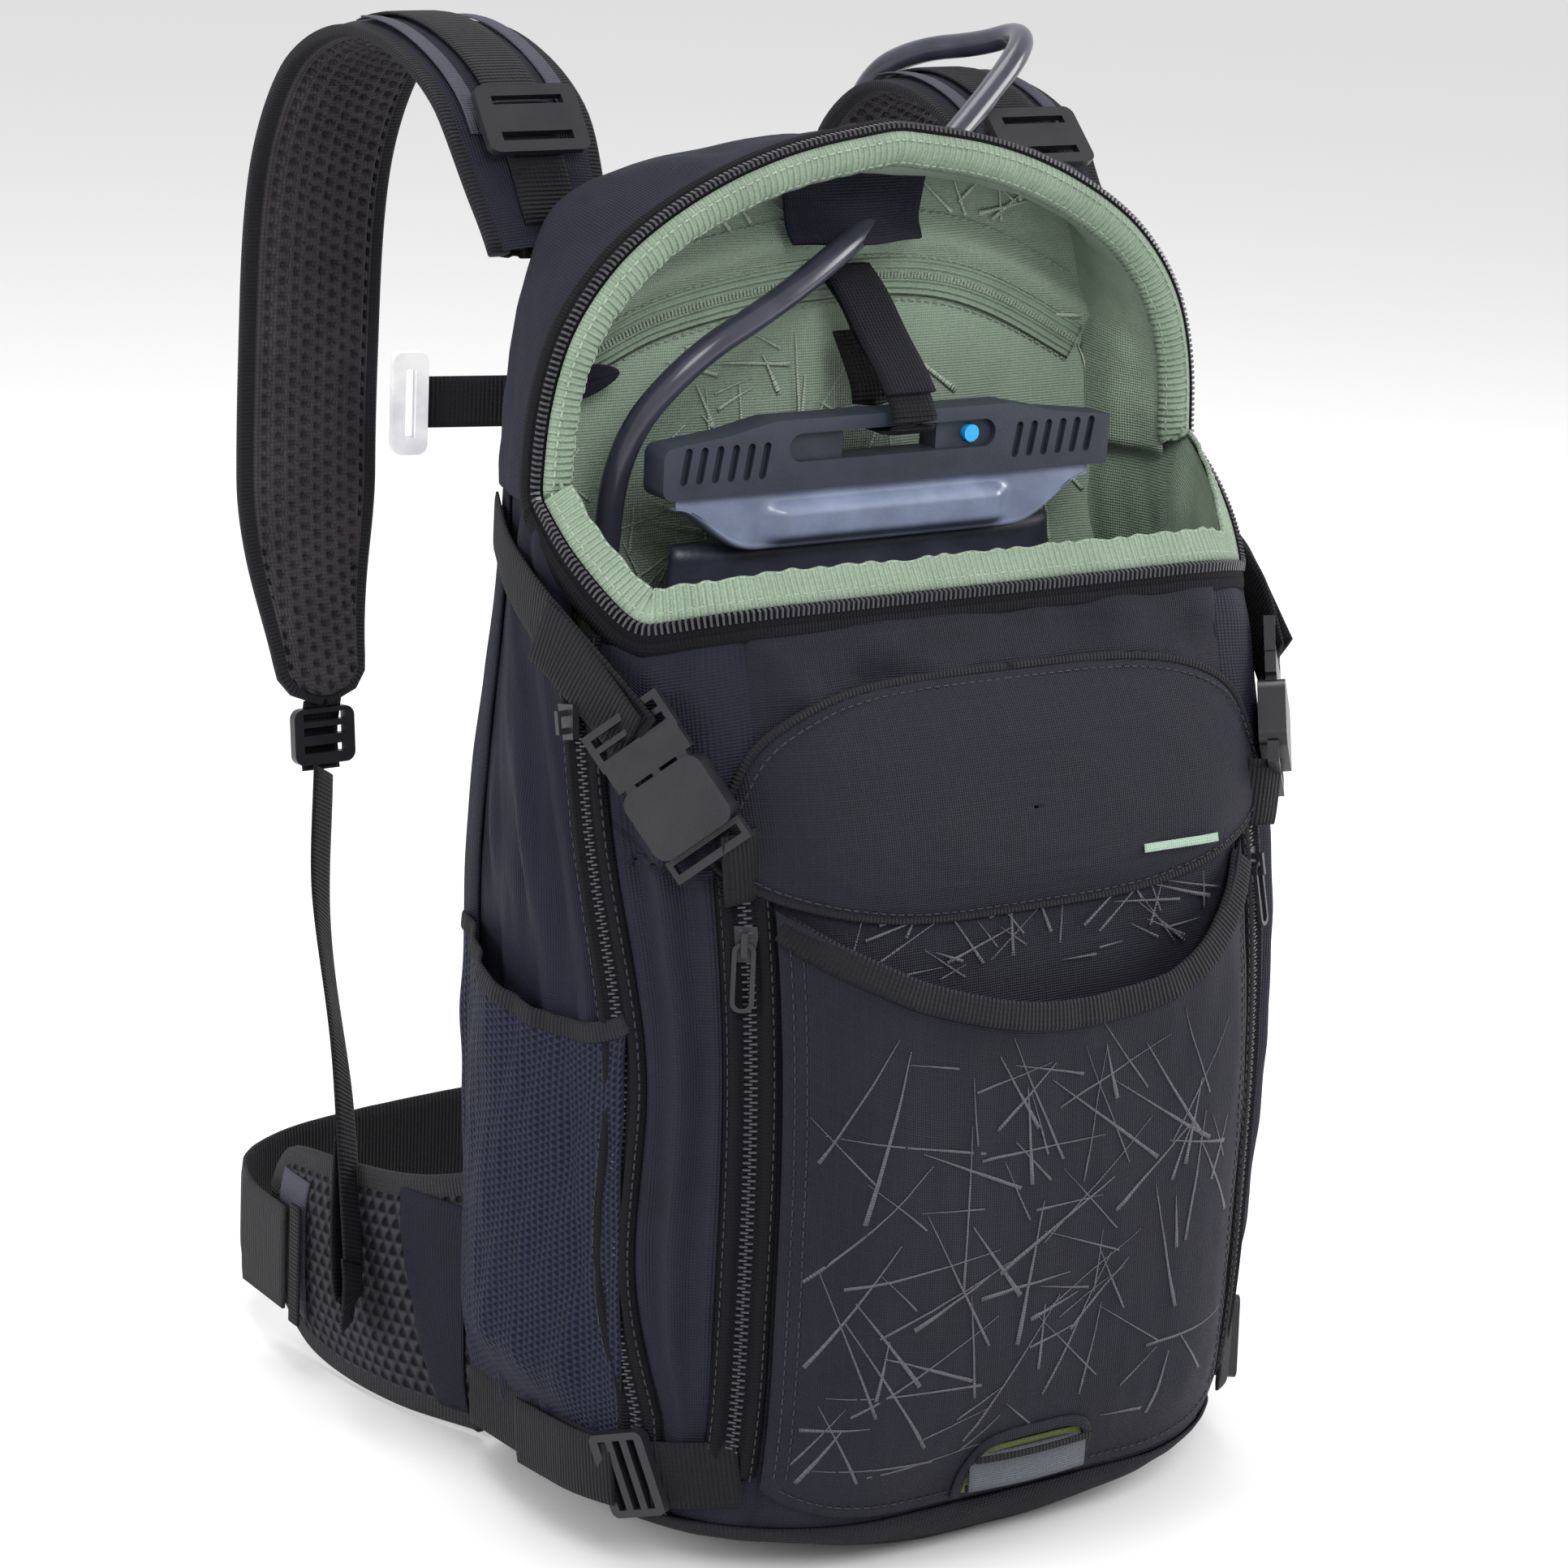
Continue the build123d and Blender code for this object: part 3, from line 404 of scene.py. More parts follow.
NAVY = (0.011, 0.0115, 0.020)
SOFT = {"Sheen_Weight": 0.03, "Sheen_Roughness": 0.5, "Sheen_Tint": (0.5, 0.5, 0.7, 1),
        "Specular_IOR_Level": 0.12}
DULL = {"Sheen_Weight": 0.02, "Specular_IOR_Level": 0.12}
LINED = {"Sheen_Weight": 0.05, "Specular_IOR_Level": 0.15}
body_cloth = material("body_cloth", NAVY, 0.66, woven(0.0011, contrast=0.3), **SOFT)
ripstop = material("ripstop", (0.0115, 0.0115, 0.018), 0.62, woven(0.0009, 0.0052, 0.10, contrast=0.28), **SOFT)
stretch_cloth = material("stretch_cloth", (0.0095, 0.010, 0.020), 0.6, woven(0.0010, ribs=(1.3, 0.4)), **SOFT)
base_cloth = material("base_cloth", (0.010, 0.010, 0.014), 0.75, woven(0.0014, lift=0.0004), **DULL)
pocket_net = material("pocket_net", (0.010, 0.011, 0.024), 0.7, netted(0.0024, 0.0008, 0.75), **SOFT)
knit = material("knit", (0.020, 0.020, 0.024), 0.85, netted(0.0050, 0.0016, 0.8), **DULL)
pad_net = material("pad_net", (0.040, 0.036, 0.041), 0.9, woven(0.0016, lift=0.0004, contrast=0.4), **DULL)
webbing_cloth = material("webbing", (0.0065, 0.0065, 0.0085), 0.62,
                         woven(0.0017, ribs=(0.25, 1.4), lift=0.0005, contrast=0.35),
                         Sheen_Weight=0.02, Specular_IOR_Level=0.14)
edge_tape = material("edge_tape", (0.012, 0.012, 0.015), 0.7, woven(0.0015, ribs=(0.2, 1.2), lift=0.0005),
                     **DULL)
grey_tape = material("grey_tape", (0.026, 0.026, 0.028), 0.75, woven(0.0016, ribs=(0.3, 1.2), lift=0.0005),
                     **DULL)
grey_cloth = material("grey_cloth", (0.055, 0.055, 0.075), 0.6, woven(0.0010), **SOFT)
zip_cloth = material("zip_tape", (0.0045, 0.0045, 0.006), 0.75, woven(0.0013, ribs=(1.2, 0.3), lift=0.0004),
                     Specular_IOR_Level=0.12)
zip_teeth = material("zip_teeth", (0.022, 0.022, 0.027), 0.3, moulded(depth=0.00003), Specular_IOR_Level=0.5)
lining = material("lining", (0.245, 0.315, 0.24), 0.7, woven(0.0010, contrast=0.12, lift=0.0002), **LINED)
# painted shade: a darker copy of the lining, for the lining inside the front and sides, which sit in shade
lining_painted_shade = material("lining_painted_shade", (0.20, 0.265, 0.195), 0.75, woven(0.0010, contrast=0.15, lift=0.0002),
                        **LINED)
lining_tape = material("lining_tape", (0.215, 0.285, 0.21), 0.75,
                       woven(0.0024, ribs=(1.5, 0.1), lift=0.0007, contrast=0.2), **LINED)
lining_print = material("lining_print", (0.37, 0.44, 0.355), 0.6, woven(0.0010, contrast=0.08))
pocket_print = material("pocket_print", (0.052, 0.052, 0.066), 0.5, woven(0.0009, contrast=0.35))
mint_print = material("mint_print", (0.30, 0.42, 0.32), 0.6, woven(0.0009, contrast=0.15))
olive_cloth = material("olive_cloth", (0.11, 0.135, 0.05), 0.75, woven(0.0011), Specular_IOR_Level=0.1)
reflective = material("reflective", (0.075, 0.08, 0.10), 0.45, woven(0.0009, contrast=0.15), Metallic=0.2)
black_plastic = material("black_plastic", (0.008, 0.008, 0.010), 0.34, moulded(), Specular_IOR_Level=0.4)
bar_plastic = material("bar_plastic", (0.022, 0.027, 0.040), 0.55, moulded(700.0, 0.00012),
                       Specular_IOR_Level=0.3)
clear_plastic = material("clear_plastic", (0.16, 0.19, 0.28), 0.35, moulded(curvature_shade=0.0), Coat_Weight=0.25)
blue_plastic = material("blue_plastic", (0.012, 0.31, 0.68), 0.3, moulded(curvature_shade=0.1))
white_plastic = material("white_plastic", (0.74, 0.74, 0.82), 0.45, moulded(curvature_shade=0.1))
film = material("reservoir_film", (0.022, 0.024, 0.042), 0.4, moulded(250.0, 0.0002, 0.0),
                Specular_IOR_Level=0.35)
hose_tube = material("hose_tube", (0.026, 0.026, 0.042), 0.24, moulded(120.0, 0.00005, 0.0),
                     Specular_IOR_Level=0.45)
valve_rubber = material("valve_rubber", (0.020, 0.020, 0.024), 0.6, moulded())
black_metal = material("black_metal", (0.016, 0.016, 0.018), 0.38, moulded(), Metallic=0.4)
thread = material("thread", (0.020, 0.020, 0.028), 0.6, woven(0.0006, by="Object"))
pale_thread = material("pale_thread", (0.34, 0.42, 0.33), 0.7, woven(0.0006, by="Object"))


# ---------------------------------------------------------------- mesh helpers
def mesh_piece(name, points, faces, paint, body="pack", slot=None, uv=None, smooth=True):
    """One mesh from points in millimetres."""
    mesh = bpy.data.meshes.new(name)
    mesh.from_pydata([tuple(point) for point in np.asarray(points, float) * MM], [], faces)
    if uv is not None:
        layer = mesh.uv_layers.new(name="UVMap")
        corner = np.zeros(len(mesh.loops), int)
        mesh.loops.foreach_get("vertex_index", corner)
        layer.data.foreach_set("uv", (np.asarray(uv, float)[corner] * MM).ravel())
    mesh.polygons.foreach_set("use_smooth", [smooth] * len(mesh.polygons))
    mesh.materials.append(paint)
    mesh.update()
    piece = bpy.data.objects.new(name, mesh)
    bpy.context.scene.collection.objects.link(piece)
    if body:
        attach(piece, body)
    return piece


def thicken(piece, thick):
    """Gives a sheet its thickness, half each way."""
    solid = piece.modifiers.new("thickness", "SOLIDIFY")
    solid.thickness = thick * MM
    solid.offset = 0.0
    return piece


def cloth(name, patches, paint, thick=1.2, replaces=(), around=False, plan_uv=False, **how):
    """A cloth piece from one or more grids of points, each a list of rows."""
    points, faces, uv = [], [], []
    for rows in patches:
        grid = np.array([[tuple(p) for p in row] for row in rows], float)
        high, wide = grid.shape[:2]
        start = len(points)
        across = np.r_[0, np.cumsum(np.linalg.norm(np.diff(grid[high // 2], axis=0), axis=1))]
        up = np.r_[0, np.cumsum(np.linalg.norm(np.diff(grid[:, wide // 2], axis=0), axis=1))]
        points.extend(grid.reshape(-1, 3))
        uv.extend([(p[0], p[2]) for p in grid.reshape(-1,
                                                      3)] if plan_uv else [(u, v) for v in up for u in across])
        last = wide if around else wide - 1
        for i in range(high - 1):
            for j in range(last):
                k = (j + 1) % wide
                faces.append((start + i * wide + j, start + i * wide + k,
                              start + (i + 1) * wide + k, start + (i + 1) * wide + j))
    piece = mesh_piece(name, points, faces, paint, uv=uv, **how)
    if thick:
        thicken(piece, thick)
    if replaces:
        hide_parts(*replaces)
    return piece


def frames_along(path, facing):
    """Tangent, width direction and face normal at each point of a path, from the way it faces."""
    made = []
    for index, point in enumerate(path):
        tangent = (path[min(index + 1, len(path) - 1)] - path[max(index - 1, 0)]).normalized()
        face = facing[index] if isinstance(facing, list) else facing
        wide = face.cross(tangent).normalized()
        made.append((point, tangent, wide, tangent.cross(wide) * -1))
    return made


def band(name, routes, width, thick, paint, replaces=(), ripple=0.0, crown=0.0, **how):
    """Webbing or tape: a flat band with rounded edges along each (path, facing), closed at its ends."""
    profile = []
    for k in range(9):
        share = k / 8 * 2 - 1
        profile.append((share * width / 2,
                        thick / 2 * (1 - 0.5 * abs(share) ** 6) + crown * (1 - share * share)))
    profile += [(x, y - thick * (1 - 0.5 * abs(2 * x / width) ** 6)) for x, y in reversed(profile)]
    points, faces, uv = [], [], []
    for path, facing in routes:
        start, way = len(points), 0.0
        line = frames_along(path, facing)
        for index, (point, tangent, wide, face) in enumerate(line):
            if index:
                way += (point - line[index - 1][0]).length
            wave = ripple * noise.noise(Vector((way / 9, width, start)))
            for x, y in profile:
                points.append(point + wide * x + face * (y + wave))
                uv.append((x, way))
        size = len(profile)
        for index in range(len(line) - 1):
            for k in range(size):
                n = (k + 1) % size
                faces.append((start + index * size + k, start + index * size + n,
                              start + (index + 1) * size + n, start + (index + 1) * size + k))
        faces.append(tuple(range(start + size - 1, start - 1, -1)))
        faces.append(tuple(range(start + (len(line) - 1) * size, start + len(line) * size)))
    piece = mesh_piece(name, points, faces, paint, uv=uv, **how)
    if replaces:
        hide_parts(*replaces)
    return piece


def studs(name, places, size, paint, **how):
    """Many small rounded blocks, such as stitches or zip teeth: places are (point, along, face)."""
    length, width, height = size
    corner = [(sx, sy, sz) for sz in (0, 1) for sx, sy in ((-1, -1), (1, -1), (1, 1), (-1, 1))]
    points, faces = [], []
    for point, along, face in places:
        wide = face.cross(along).normalized()
        start = len(points)
        for sx, sy, sz in corner:
            taper = 0.72 if sz else 1.0
            points.append(point + along * (sx * length / 2 * taper) + wide * (sy * width / 2 * taper)
                          + face * (height * (sz - 0.25)))
        faces.append(tuple(start + i for i in (3, 2, 1, 0)))
        faces.append(tuple(start + i for i in (4, 5, 6, 7)))
        faces += [(start + i, start + (i + 1) % 4, start + 4 + (i + 1) % 4, start + 4 + i) for i in range(4)]
    return mesh_piece(name, points, faces, paint, smooth=False, **how)


def stitches(name, routes, paint=thread, pitch=3.6, length=2.5, width=0.55, **how):
    """Dashes of thread along each route, a list of (point, face) pairs."""
    places = []
    for route in routes:
        carried = 0.0
        for (here, face), (there, _) in zip(route, route[1:]):
            step = there - here
            while carried < step.length:
                places.append((here + step.normalized() * carried, step.normalized(), face))
                carried += pitch
            carried -= step.length
    return studs(name, places, (length, width, 0.5), paint, **how)


def strokes(name, surface, area, count, seed, paint, longest=60, widest=1.9, **how):
    """Scattered tapering strokes of the builder's own, laid on surface(a, b)."""
    rng = random.Random(seed)
    points, faces, uv = [], [], []
    (a0, a1), (b0, b1) = area
    while len(faces) < count * 8:
        a, b = rng.uniform(a0, a1), rng.uniform(b0, b1)
        turn, length = rng.uniform(0, math.pi), rng.uniform(0.3, 1.0) * longest
        width = rng.uniform(0.35, 1.0) * widest
        da, db = math.cos(turn) * length / 2, math.sin(turn) * length / 2
        if not (a0 < a - abs(da) and a + abs(da) < a1 and b0 < b - abs(db) and b + abs(db) < b1):
            continue
        start = len(points)
        for k in range(9):
            share = k / 4 - 1
            half = width / 2 * (0.25 + 0.75 * (1 - k / 8)) * rng.uniform(0.75, 1.1)
            for side in SIDES:
                points.append(surface(a + da * share - math.sin(turn) * half * side,
                                      b + db * share + math.cos(turn) * half * side))
                uv.append((a + da * share, b + db * share))
        faces += [(start + 2 * k, start + 2 * k + 1, start + 2 * k + 3, start + 2 * k + 2) for k in range(8)]
    return thicken(mesh_piece(name, points, faces, paint, uv=uv, **how), 0.12)


def finish_node(name, paint, bevel=0.0):
    """Keeps a CAD node and gives it its material, with soft edges where it is moulded."""
    shown = nodes[name]
    shown.data.materials.clear()
    shown.data.materials.append(paint)
    if bevel:
        soft = shown.modifiers.new("edges", "BEVEL")
        soft.width, soft.segments, soft.limit_method = bevel * MM, 2, "ANGLE"
        soft.angle_limit = math.radians(40)
        soft.use_clamp_overlap = True
        soft.harden_normals = False


# ---------------------------------------------------------------- camera, light and floor
AZIMUTH, ELEVATION, ROLL = math.radians(-34.07), math.radians(15.80), math.radians(2.77)
CAMERA_PLACE = (-0.8511, -1.1798, 0.6698)
back = Vector((math.sin(AZIMUTH) * math.cos(ELEVATION), -math.cos(AZIMUTH) * math.cos(ELEVATION),
               math.sin(ELEVATION)))
right = Vector((math.cos(AZIMUTH), math.sin(AZIMUTH), 0))
up = back.cross(right)
rolled_right = right * math.cos(ROLL) + up * math.sin(ROLL)
rolled_up = up * math.cos(ROLL) - right * math.sin(ROLL)
camera = bpy.data.objects.new("camera", bpy.data.cameras.new("camera"))
camera.data.lens, camera.data.sensor_width = 97.65, 36.0
camera.matrix_world = Matrix.Translation(CAMERA_PLACE) @ Matrix((rolled_right, rolled_up,
                                                                 back)).transposed().to_4x4()
bpy.context.scene.collection.objects.link(camera)
bpy.context.scene.camera = camera


def area_light(name, place, size, power):
    """A soft square light that looks at the middle of the pack."""
    light = bpy.data.objects.new(name, bpy.data.lights.new(name, "AREA"))
    light.data.energy, light.data.size = power, size
    light.location = place
    light.rotation_euler = (Vector(place) - Vector((0, 0, 0.25))).to_track_quat("Z", "Y").to_euler()
    bpy.context.scene.collection.objects.link(light)


area_light("key_light", (-0.5, -1.9, 1.9), 1.0, 34)
area_light("left_light", (-2.0, 0.1, 0.9), 0.9, 24)
area_light("right_light", (1.9, -0.5, 0.9), 0.9, 24)
area_light("top_light", (0.1, 0.6, 2.2), 1.2, 22)
world = bpy.data.worlds.new("studio")
world.use_nodes = True
sky = world.node_tree.nodes["Background"].inputs
sky["Color"].default_value, sky["Strength"].default_value = (0.90, 0.90, 0.90, 1), 1.0
bpy.context.scene.world = world
bpy.context.scene.view_settings.view_transform = "Standard"

FLOOR = 6.0
floor_paint = material("floor_paint", (0.80, 0.80, 0.80), 1.0, Specular_IOR_Level=0.0)
floor_mesh = bpy.data.meshes.new("floor")
floor_mesh.from_pydata([(x * FLOOR, y * FLOOR, 0) for x, y in ((-1, -1), (1, -1), (1, 1), (-1, 1))], [],
                       [(0, 1, 2, 3)])
floor_mesh.materials.append(floor_paint)
floor = bpy.data.objects.new("floor", floor_mesh)
bpy.context.scene.collection.objects.link(floor)


# ---------------------------------------------------------------- shell panels
def panel_rows(left, right, bottom, top, swell, pleat, counts, seam=7.0, lift=0.0):
    """Rows of a panel between two ways round and two heights, swollen between its sewn edges."""
    rows = []
    for i in range(counts[1] + 1):
        v, row = i / counts[1], []
        for j in range(counts[0] + 1):
            u, z = j / counts[0], mix(bottom, 300.0, v)
            for _ in range(3):
                way = mix(left(z), right(z), u)
                z = mix(bottom, top(way), v)
            edge = min(u * abs(right(z) - left(z)), (1 - u) * abs(right(z) - left(z)),
                       v * (top(way) - bottom), (1 - v) * (top(way) - bottom))
            soft = 1 - math.exp(-edge / seam)
            row.append(shell(way, z, lift - 1.4 + soft * (1.4 + swell(u, v) + pleat(way, z)))[0])
        rows.append(row)
    return rows


def front_pleat(way, z):
    """Pulls that run down from the rim and out of the corners."""
    rumple = ease(275, 325, z)
    return (1.4 * crumple(way / 26, z / 60, 3) + 4.2 * rumple * crumple(way / 24 + z / 40, z / 12, 8)
            + 0.5 * crumple(way / 8, z / 22, 5))


def top_edge(way):
    """Top of the front panel, just under the rim's zip."""
    return edge_height(way) - 6.0


cloth("front_panel_cloth", [panel_rows(
    lambda z: -way_to_x(FRONT_ZIP_X - ZIP_HALF + 1, z), lambda z: way_to_x(FRONT_ZIP_X - ZIP_HALF + 1, z),
    BASE_TOP - 1, top_edge, lambda u, v: 1.6 * math.sin(math.pi * u), front_pleat, (76, 110))],
    ripstop, replaces=["front_panel"], slot="ripstop")


def side_zip_y(z):
    """Depth of the side zip's line at height z."""
    return through(SIDE_ZIP, z)[0]


def gusset_pleat(way, z):
    """Accordion pleats that run up the gusset."""
    inner = way_to_x(FRONT_ZIP_X + ZIP_HALF, z)
    outer = way_to_y(side_zip_y(z) - ZIP_HALF, z)
    share = (abs(way) - inner) / max(1.0, outer - inner)
    return (2.6 * math.cos(2 * math.pi * 2 * share) * ease(60, 110, z) * (1 - ease(250, 300, z))
            + 1.5 * crumple(way / 14, z / 70, 21) + 1.0 * crumple(way / 9, z / 20, 4))


def above_zip(way):
    """Top of the gussets."""
    return min(edge_height(way) - 6.0, SEAM_TOP)


def beside_front_zip(z):
    """The gusset's inner edge, which closes in past the zip's ends."""
    return way_to_x(FRONT_ZIP_X + (ZIP_HALF if FRONT_ZIP_Z[0] < z < FRONT_ZIP_Z[1] else -ZIP_HALF) - 1, z)


gusset_patches = []
for side in SIDES:
    gusset_patches.append(panel_rows(
        lambda z: side * beside_front_zip(z),
        lambda z: side * way_to_y(side_zip_y(z) - ZIP_HALF + 1, z),
        BASE_TOP - 1, above_zip, lambda u, v: 2.0 * math.sin(math.pi * u), gusset_pleat, (30, 110)))
cloth("side_gusset_cloth", gusset_patches, body_cloth, replaces=["side_gussets"], slot="shell_fabric")


def side_pleat(way, z):
    """Long folds in the stretch side panel, tight above the pocket."""
    return (4.2 * crumple(way / 13 + z / 90, z / 120, 33) + 2.2 * crumple(way / 7, z / 50, 12)
            + 0.8 * crumple(way / 20, z / 18, 40))


def side_top(way):
    """Top of the side panels: the rim, or the seam behind it."""
    return min(edge_height(way) - 4.0, SEAM_TOP) if abs(way) < way_to_y(RIM_Y, 350) else SEAM_TOP


side_patches = []
for side in SIDES:
    side_patches.append(panel_rows(
        lambda z: side * way_to_y(side_zip_y(z) + ZIP_HALF - 1, z), lambda z: side * way_to_y(58.0, z),
        BASE_TOP - 1, side_top,
        lambda u, v: 2.2 * math.sin(math.pi * u), side_pleat, (40, 120)))
cloth("side_panel_cloth", side_patches, stretch_cloth, replaces=["side_panels"], slot="shell_fabric")


def base_rows():
    """The base: up the sides to its seam, and in to the middle underneath."""
    rows = []
    round_way = [mix(-1, 1, k / 160) for k in range(161)]
    for z in (BASE_TOP + 1, 18, 14, 10, 6, 3, 0.8):
        row = []
        for share in round_way:
            way = share * way_to_y(58.0, z)
            point = shell(way, z, 1.2 - 0.05 * (BASE_TOP - z) + 0.7 * crumple(way / 14, z / 5, 2))[0]
            lifted = (1.0 + 8.0 * ease(15, 90,
                                       abs(way)) * (1 - ease(10, 60, point.y))) * (1 - z / (BASE_TOP + 1))
            row.append(Vector((point.x, point.y, z + lifted)))
        rows.append(row)
    for share in (0.8, 0.5, 0.2, 0.02):
        rise = max(0.0, share - 0.5) * 1.2
        rows.append([Vector((p.x * share, mix(5.0, p.y, share), mix(0.7, p.z, rise))) for p in rows[6]])
    return rows


cloth("base_panel_cloth", [base_rows()], base_cloth, thick=1.0, replaces=["base_panel"], slot="shell_fabric")


def back_rows():
    """The back: round both rear corners, and up into the arch."""
    rows = []
    for k in range(101):
        z = mix(1.0, 472.0, k / 100)
        if z < SEAM_TOP:
            edge_way = way_to_y(57.0, z)
            full = edge_way + 5 + BACK_CORNER * math.pi / 2 + section(z)[0] - BACK_CORNER
            side_way = [mix(edge_way, full, j / 30) for j in range(31)]
            left_half = [shell(-way, z, 0.4 + 0.5 * crumple(way / 15, z / 30, 6))[0] for way in side_way]
        else:
            half = max(4.0, arch_half(z + 5, BACK_Y) - 4)
            left_half = []
            for j in range(31):
                share = j / 30
                turn = min(1.0, share * 5)
                depth = mix(66.0, BACK_Y, math.sqrt(1 - (1 - turn) ** 2))
                left_half.append(Vector((-half * (1 - share), depth, z)))
        rows.append(left_half + [Vector((-p.x, p.y, p.z)) for p in reversed(left_half[:-1])])
    return rows


cloth("back_panel_cloth", [back_rows()], body_cloth, replaces=["back_panel"], slot="shell_fabric")

ARCH_COUNT = 140


def upper_rows(first_y, last_y, count, inset, swell, seed):
    """Rows of the arched top between two depths, with soft folds."""
    rows = []
    for i in range(count + 1):
        y = mix(first_y, last_y, i / count)
        row = []
        for j in range(ARCH_COUNT + 1):
            share = j / ARCH_COUNT
            point, normal = arch(share, y, inset)
            puff = math.sin(math.pi * i / count) * (swell + 1.8 * crumple(share * 16, y / 16, seed)
                                                   + 1.0 * crumple(share * 40, y / 9, seed + 2))
            row.append(point + normal * puff)
        rows.append(row)
    return rows


cloth("upper_shell_cloth", [upper_rows(RIM_Y + 4, BACK_Y, 22, 0.0, 2.4, 9)], body_cloth,
                    replaces=["upper_shell"], slot="shell_fabric")

# ---------------------------------------------------------------- opening edge
front_way = way_to_y(RIM_Y - 2, 350)
rim = []
for k in range(241):
    way = mix(-front_way, front_way, k / 240)
    z = edge_height(way)
    rim.append((shell(way, z)[0], shell(way, z)[1]))
for k in range(1, 260):
    rim.append(arch(1 - k / 260, RIM_Y))
for _ in range(14):
    rim = [((rim[k - 1][0] + rim[k][0] * 2 + rim[(k + 1) % len(rim)][0]) / 4,
            (rim[k - 1][1] + rim[k][1] * 2 + rim[(k + 1) % len(rim)][1]).normalized()) for k in range(len(rim))]


def rim_frames():
    """Point, tangent, outward normal and the direction away from the opening, round the rim."""
    made = []
    for k, (point, normal) in enumerate(rim):
        tangent = (rim[(k + 1) % len(rim)][0] - rim[k - 1][0]).normalized()
        away = normal.cross(tangent).normalized()
        wanted = Vector((0, 1, 0)) if point.z > 380 else Vector((0, 0, -1))
        made.append((point, tangent, normal, -away if away.dot(wanted) < 0 else away))
    return made


edge = rim_frames()


def rim_rows(offsets):
    """Closed rows round the rim: each offset is (away from the opening, outwards)."""
    return [[point + away * a + normal * n for point, tangent, normal, away in edge] for a, n in offsets]


cloth("main_zip_tape", [rim_rows([(0.2, -0.6), (0.0, 1.2), (2.5, 1.6), (5.5, 1.3), (5.8, 2.0), (8.5, 2.3),
                                  (12.0, 1.0)])],
                 zip_cloth, thick=0.9, around=True, replaces=["main_zip"], slot="zip_tape")


def along_rim(pitch, outset, away_set):
    """Places every pitch millimetres round the rim."""
    places, carried = [], 0.0
    for k, (point, tangent, normal, away) in enumerate(edge):
        there = edge[(k + 1) % len(edge)][0]
        step = there - point
        while carried < step.length:
            places.append((point + step.normalized() * carried + normal * outset + away * away_set, away,
                           normal))
            carried += pitch
        carried -= step.length
    return places


studs("main_zip_teeth", along_rim(2.0, 1.4, 1.2), (4.2, 1.15, 1.7), zip_teeth, body="pack", slot="zip_tape")


def binding_rows():
    """The bound edge inside the opening, puckered along its length."""
    rows = []
    for step, (depth, tuck) in enumerate([(0.6, -0.4), (3.0, -2.2), (6.0, -2.6), (9.0, -1.8), (11.0, 0.0),
                                          (12.4, 2.0)]):
        row = []
        for k, (point, tangent, normal, away) in enumerate(edge):
            pucker = (0.45 * math.sin(k * 0.9 + 3 * crumple(k / 9, 1,
                                                            5)) + 1.1 * crumple(k / 15, 4, 9)) * step / 5
            front = ease(0.4, 0.9, -away.z)
            row.append(point - normal * depth * mix(1.0, 0.55, front)
                       + away * (tuck * (1 - front) - 0.85 * depth * front + pucker))
        rows.append(row)
    return rows


binding = binding_rows()
cloth("rim_binding_tape", [binding], lining_tape, thick=1.3, around=True, replaces=["rim_bindings"],
      slot="lining")
for offset, row_index in (("outer", 1), ("inner", 4)):
    route = [(place - away * 0.9, (-away * 0.9 - normal * 0.1).normalized())
             for place, (_, _, normal, away) in zip(binding[row_index], edge)]
    stitches(f"binding_stitches_{offset}", [route + route[:1]], pale_thread, pitch=3.4, length=2.3, width=0.6,
             slot="lining")

# ---------------------------------------------------------------- inside
WALL_Y = 66.5
ZIP_LINE = [(-112, 404), (-70, 421), (0, 431), (60, 426), (132, 392)]


def wall(x, z):
    """The inside back wall: a sleeve front that bellies below its zip, and a ridge of tape over it."""
    line = through(ZIP_LINE, x)[0]
    below = ease(0, 60, line - z)
    ridge = math.exp(-((z - line - 15 + 0.02 * abs(x)) / 5) ** 2)
    channel = math.exp(-((z - line) / 2.2) ** 2)
    folds = 2.6 * crumple(x / 30, z / 55, 15) + 1.2 * crumple(x / 14, z / 24, 7)
    return Vector((x, WALL_Y - 3.5 * below - 5.0 * ridge + 1.8 * channel - folds * (0.4 + 0.6 * below), z))


def wall_half(z):
    """Half width of the inside wall at height z."""
    if z < SEAM_TOP:
        return section(z)[0] * (1 - NARROW * 0.8 * ease(230, SEAM_TOP, z)) - 7
    return max(3.0, arch_half(z + 5, WALL_Y) - 5)


wall_rows = []
for k in range(141):
    z = mix(40.0, 477.5, k / 140)
    wall_rows.append([wall(mix(-1, 1, j / 90) * wall_half(z), z) for j in range(91)])
cloth("inner_wall_cloth", [wall_rows], lining, thick=0.8, replaces=["inner_pocket"], slot="lining")
strokes("inner_wall_print", lambda x, z: wall(x, z) - Vector((0, 1.4, 0)), ((-120, 122), (300, 415)), 100, 11,
        lining_print, longest=42, widest=2.3, slot="lining")
strokes("upper_wall_print", lambda x, z: wall(x, z) - Vector((0, 1.4, 0)), ((-92, 92), (446, 470)), 34, 12,
        lining_print, longest=24, widest=2.0, slot="lining")

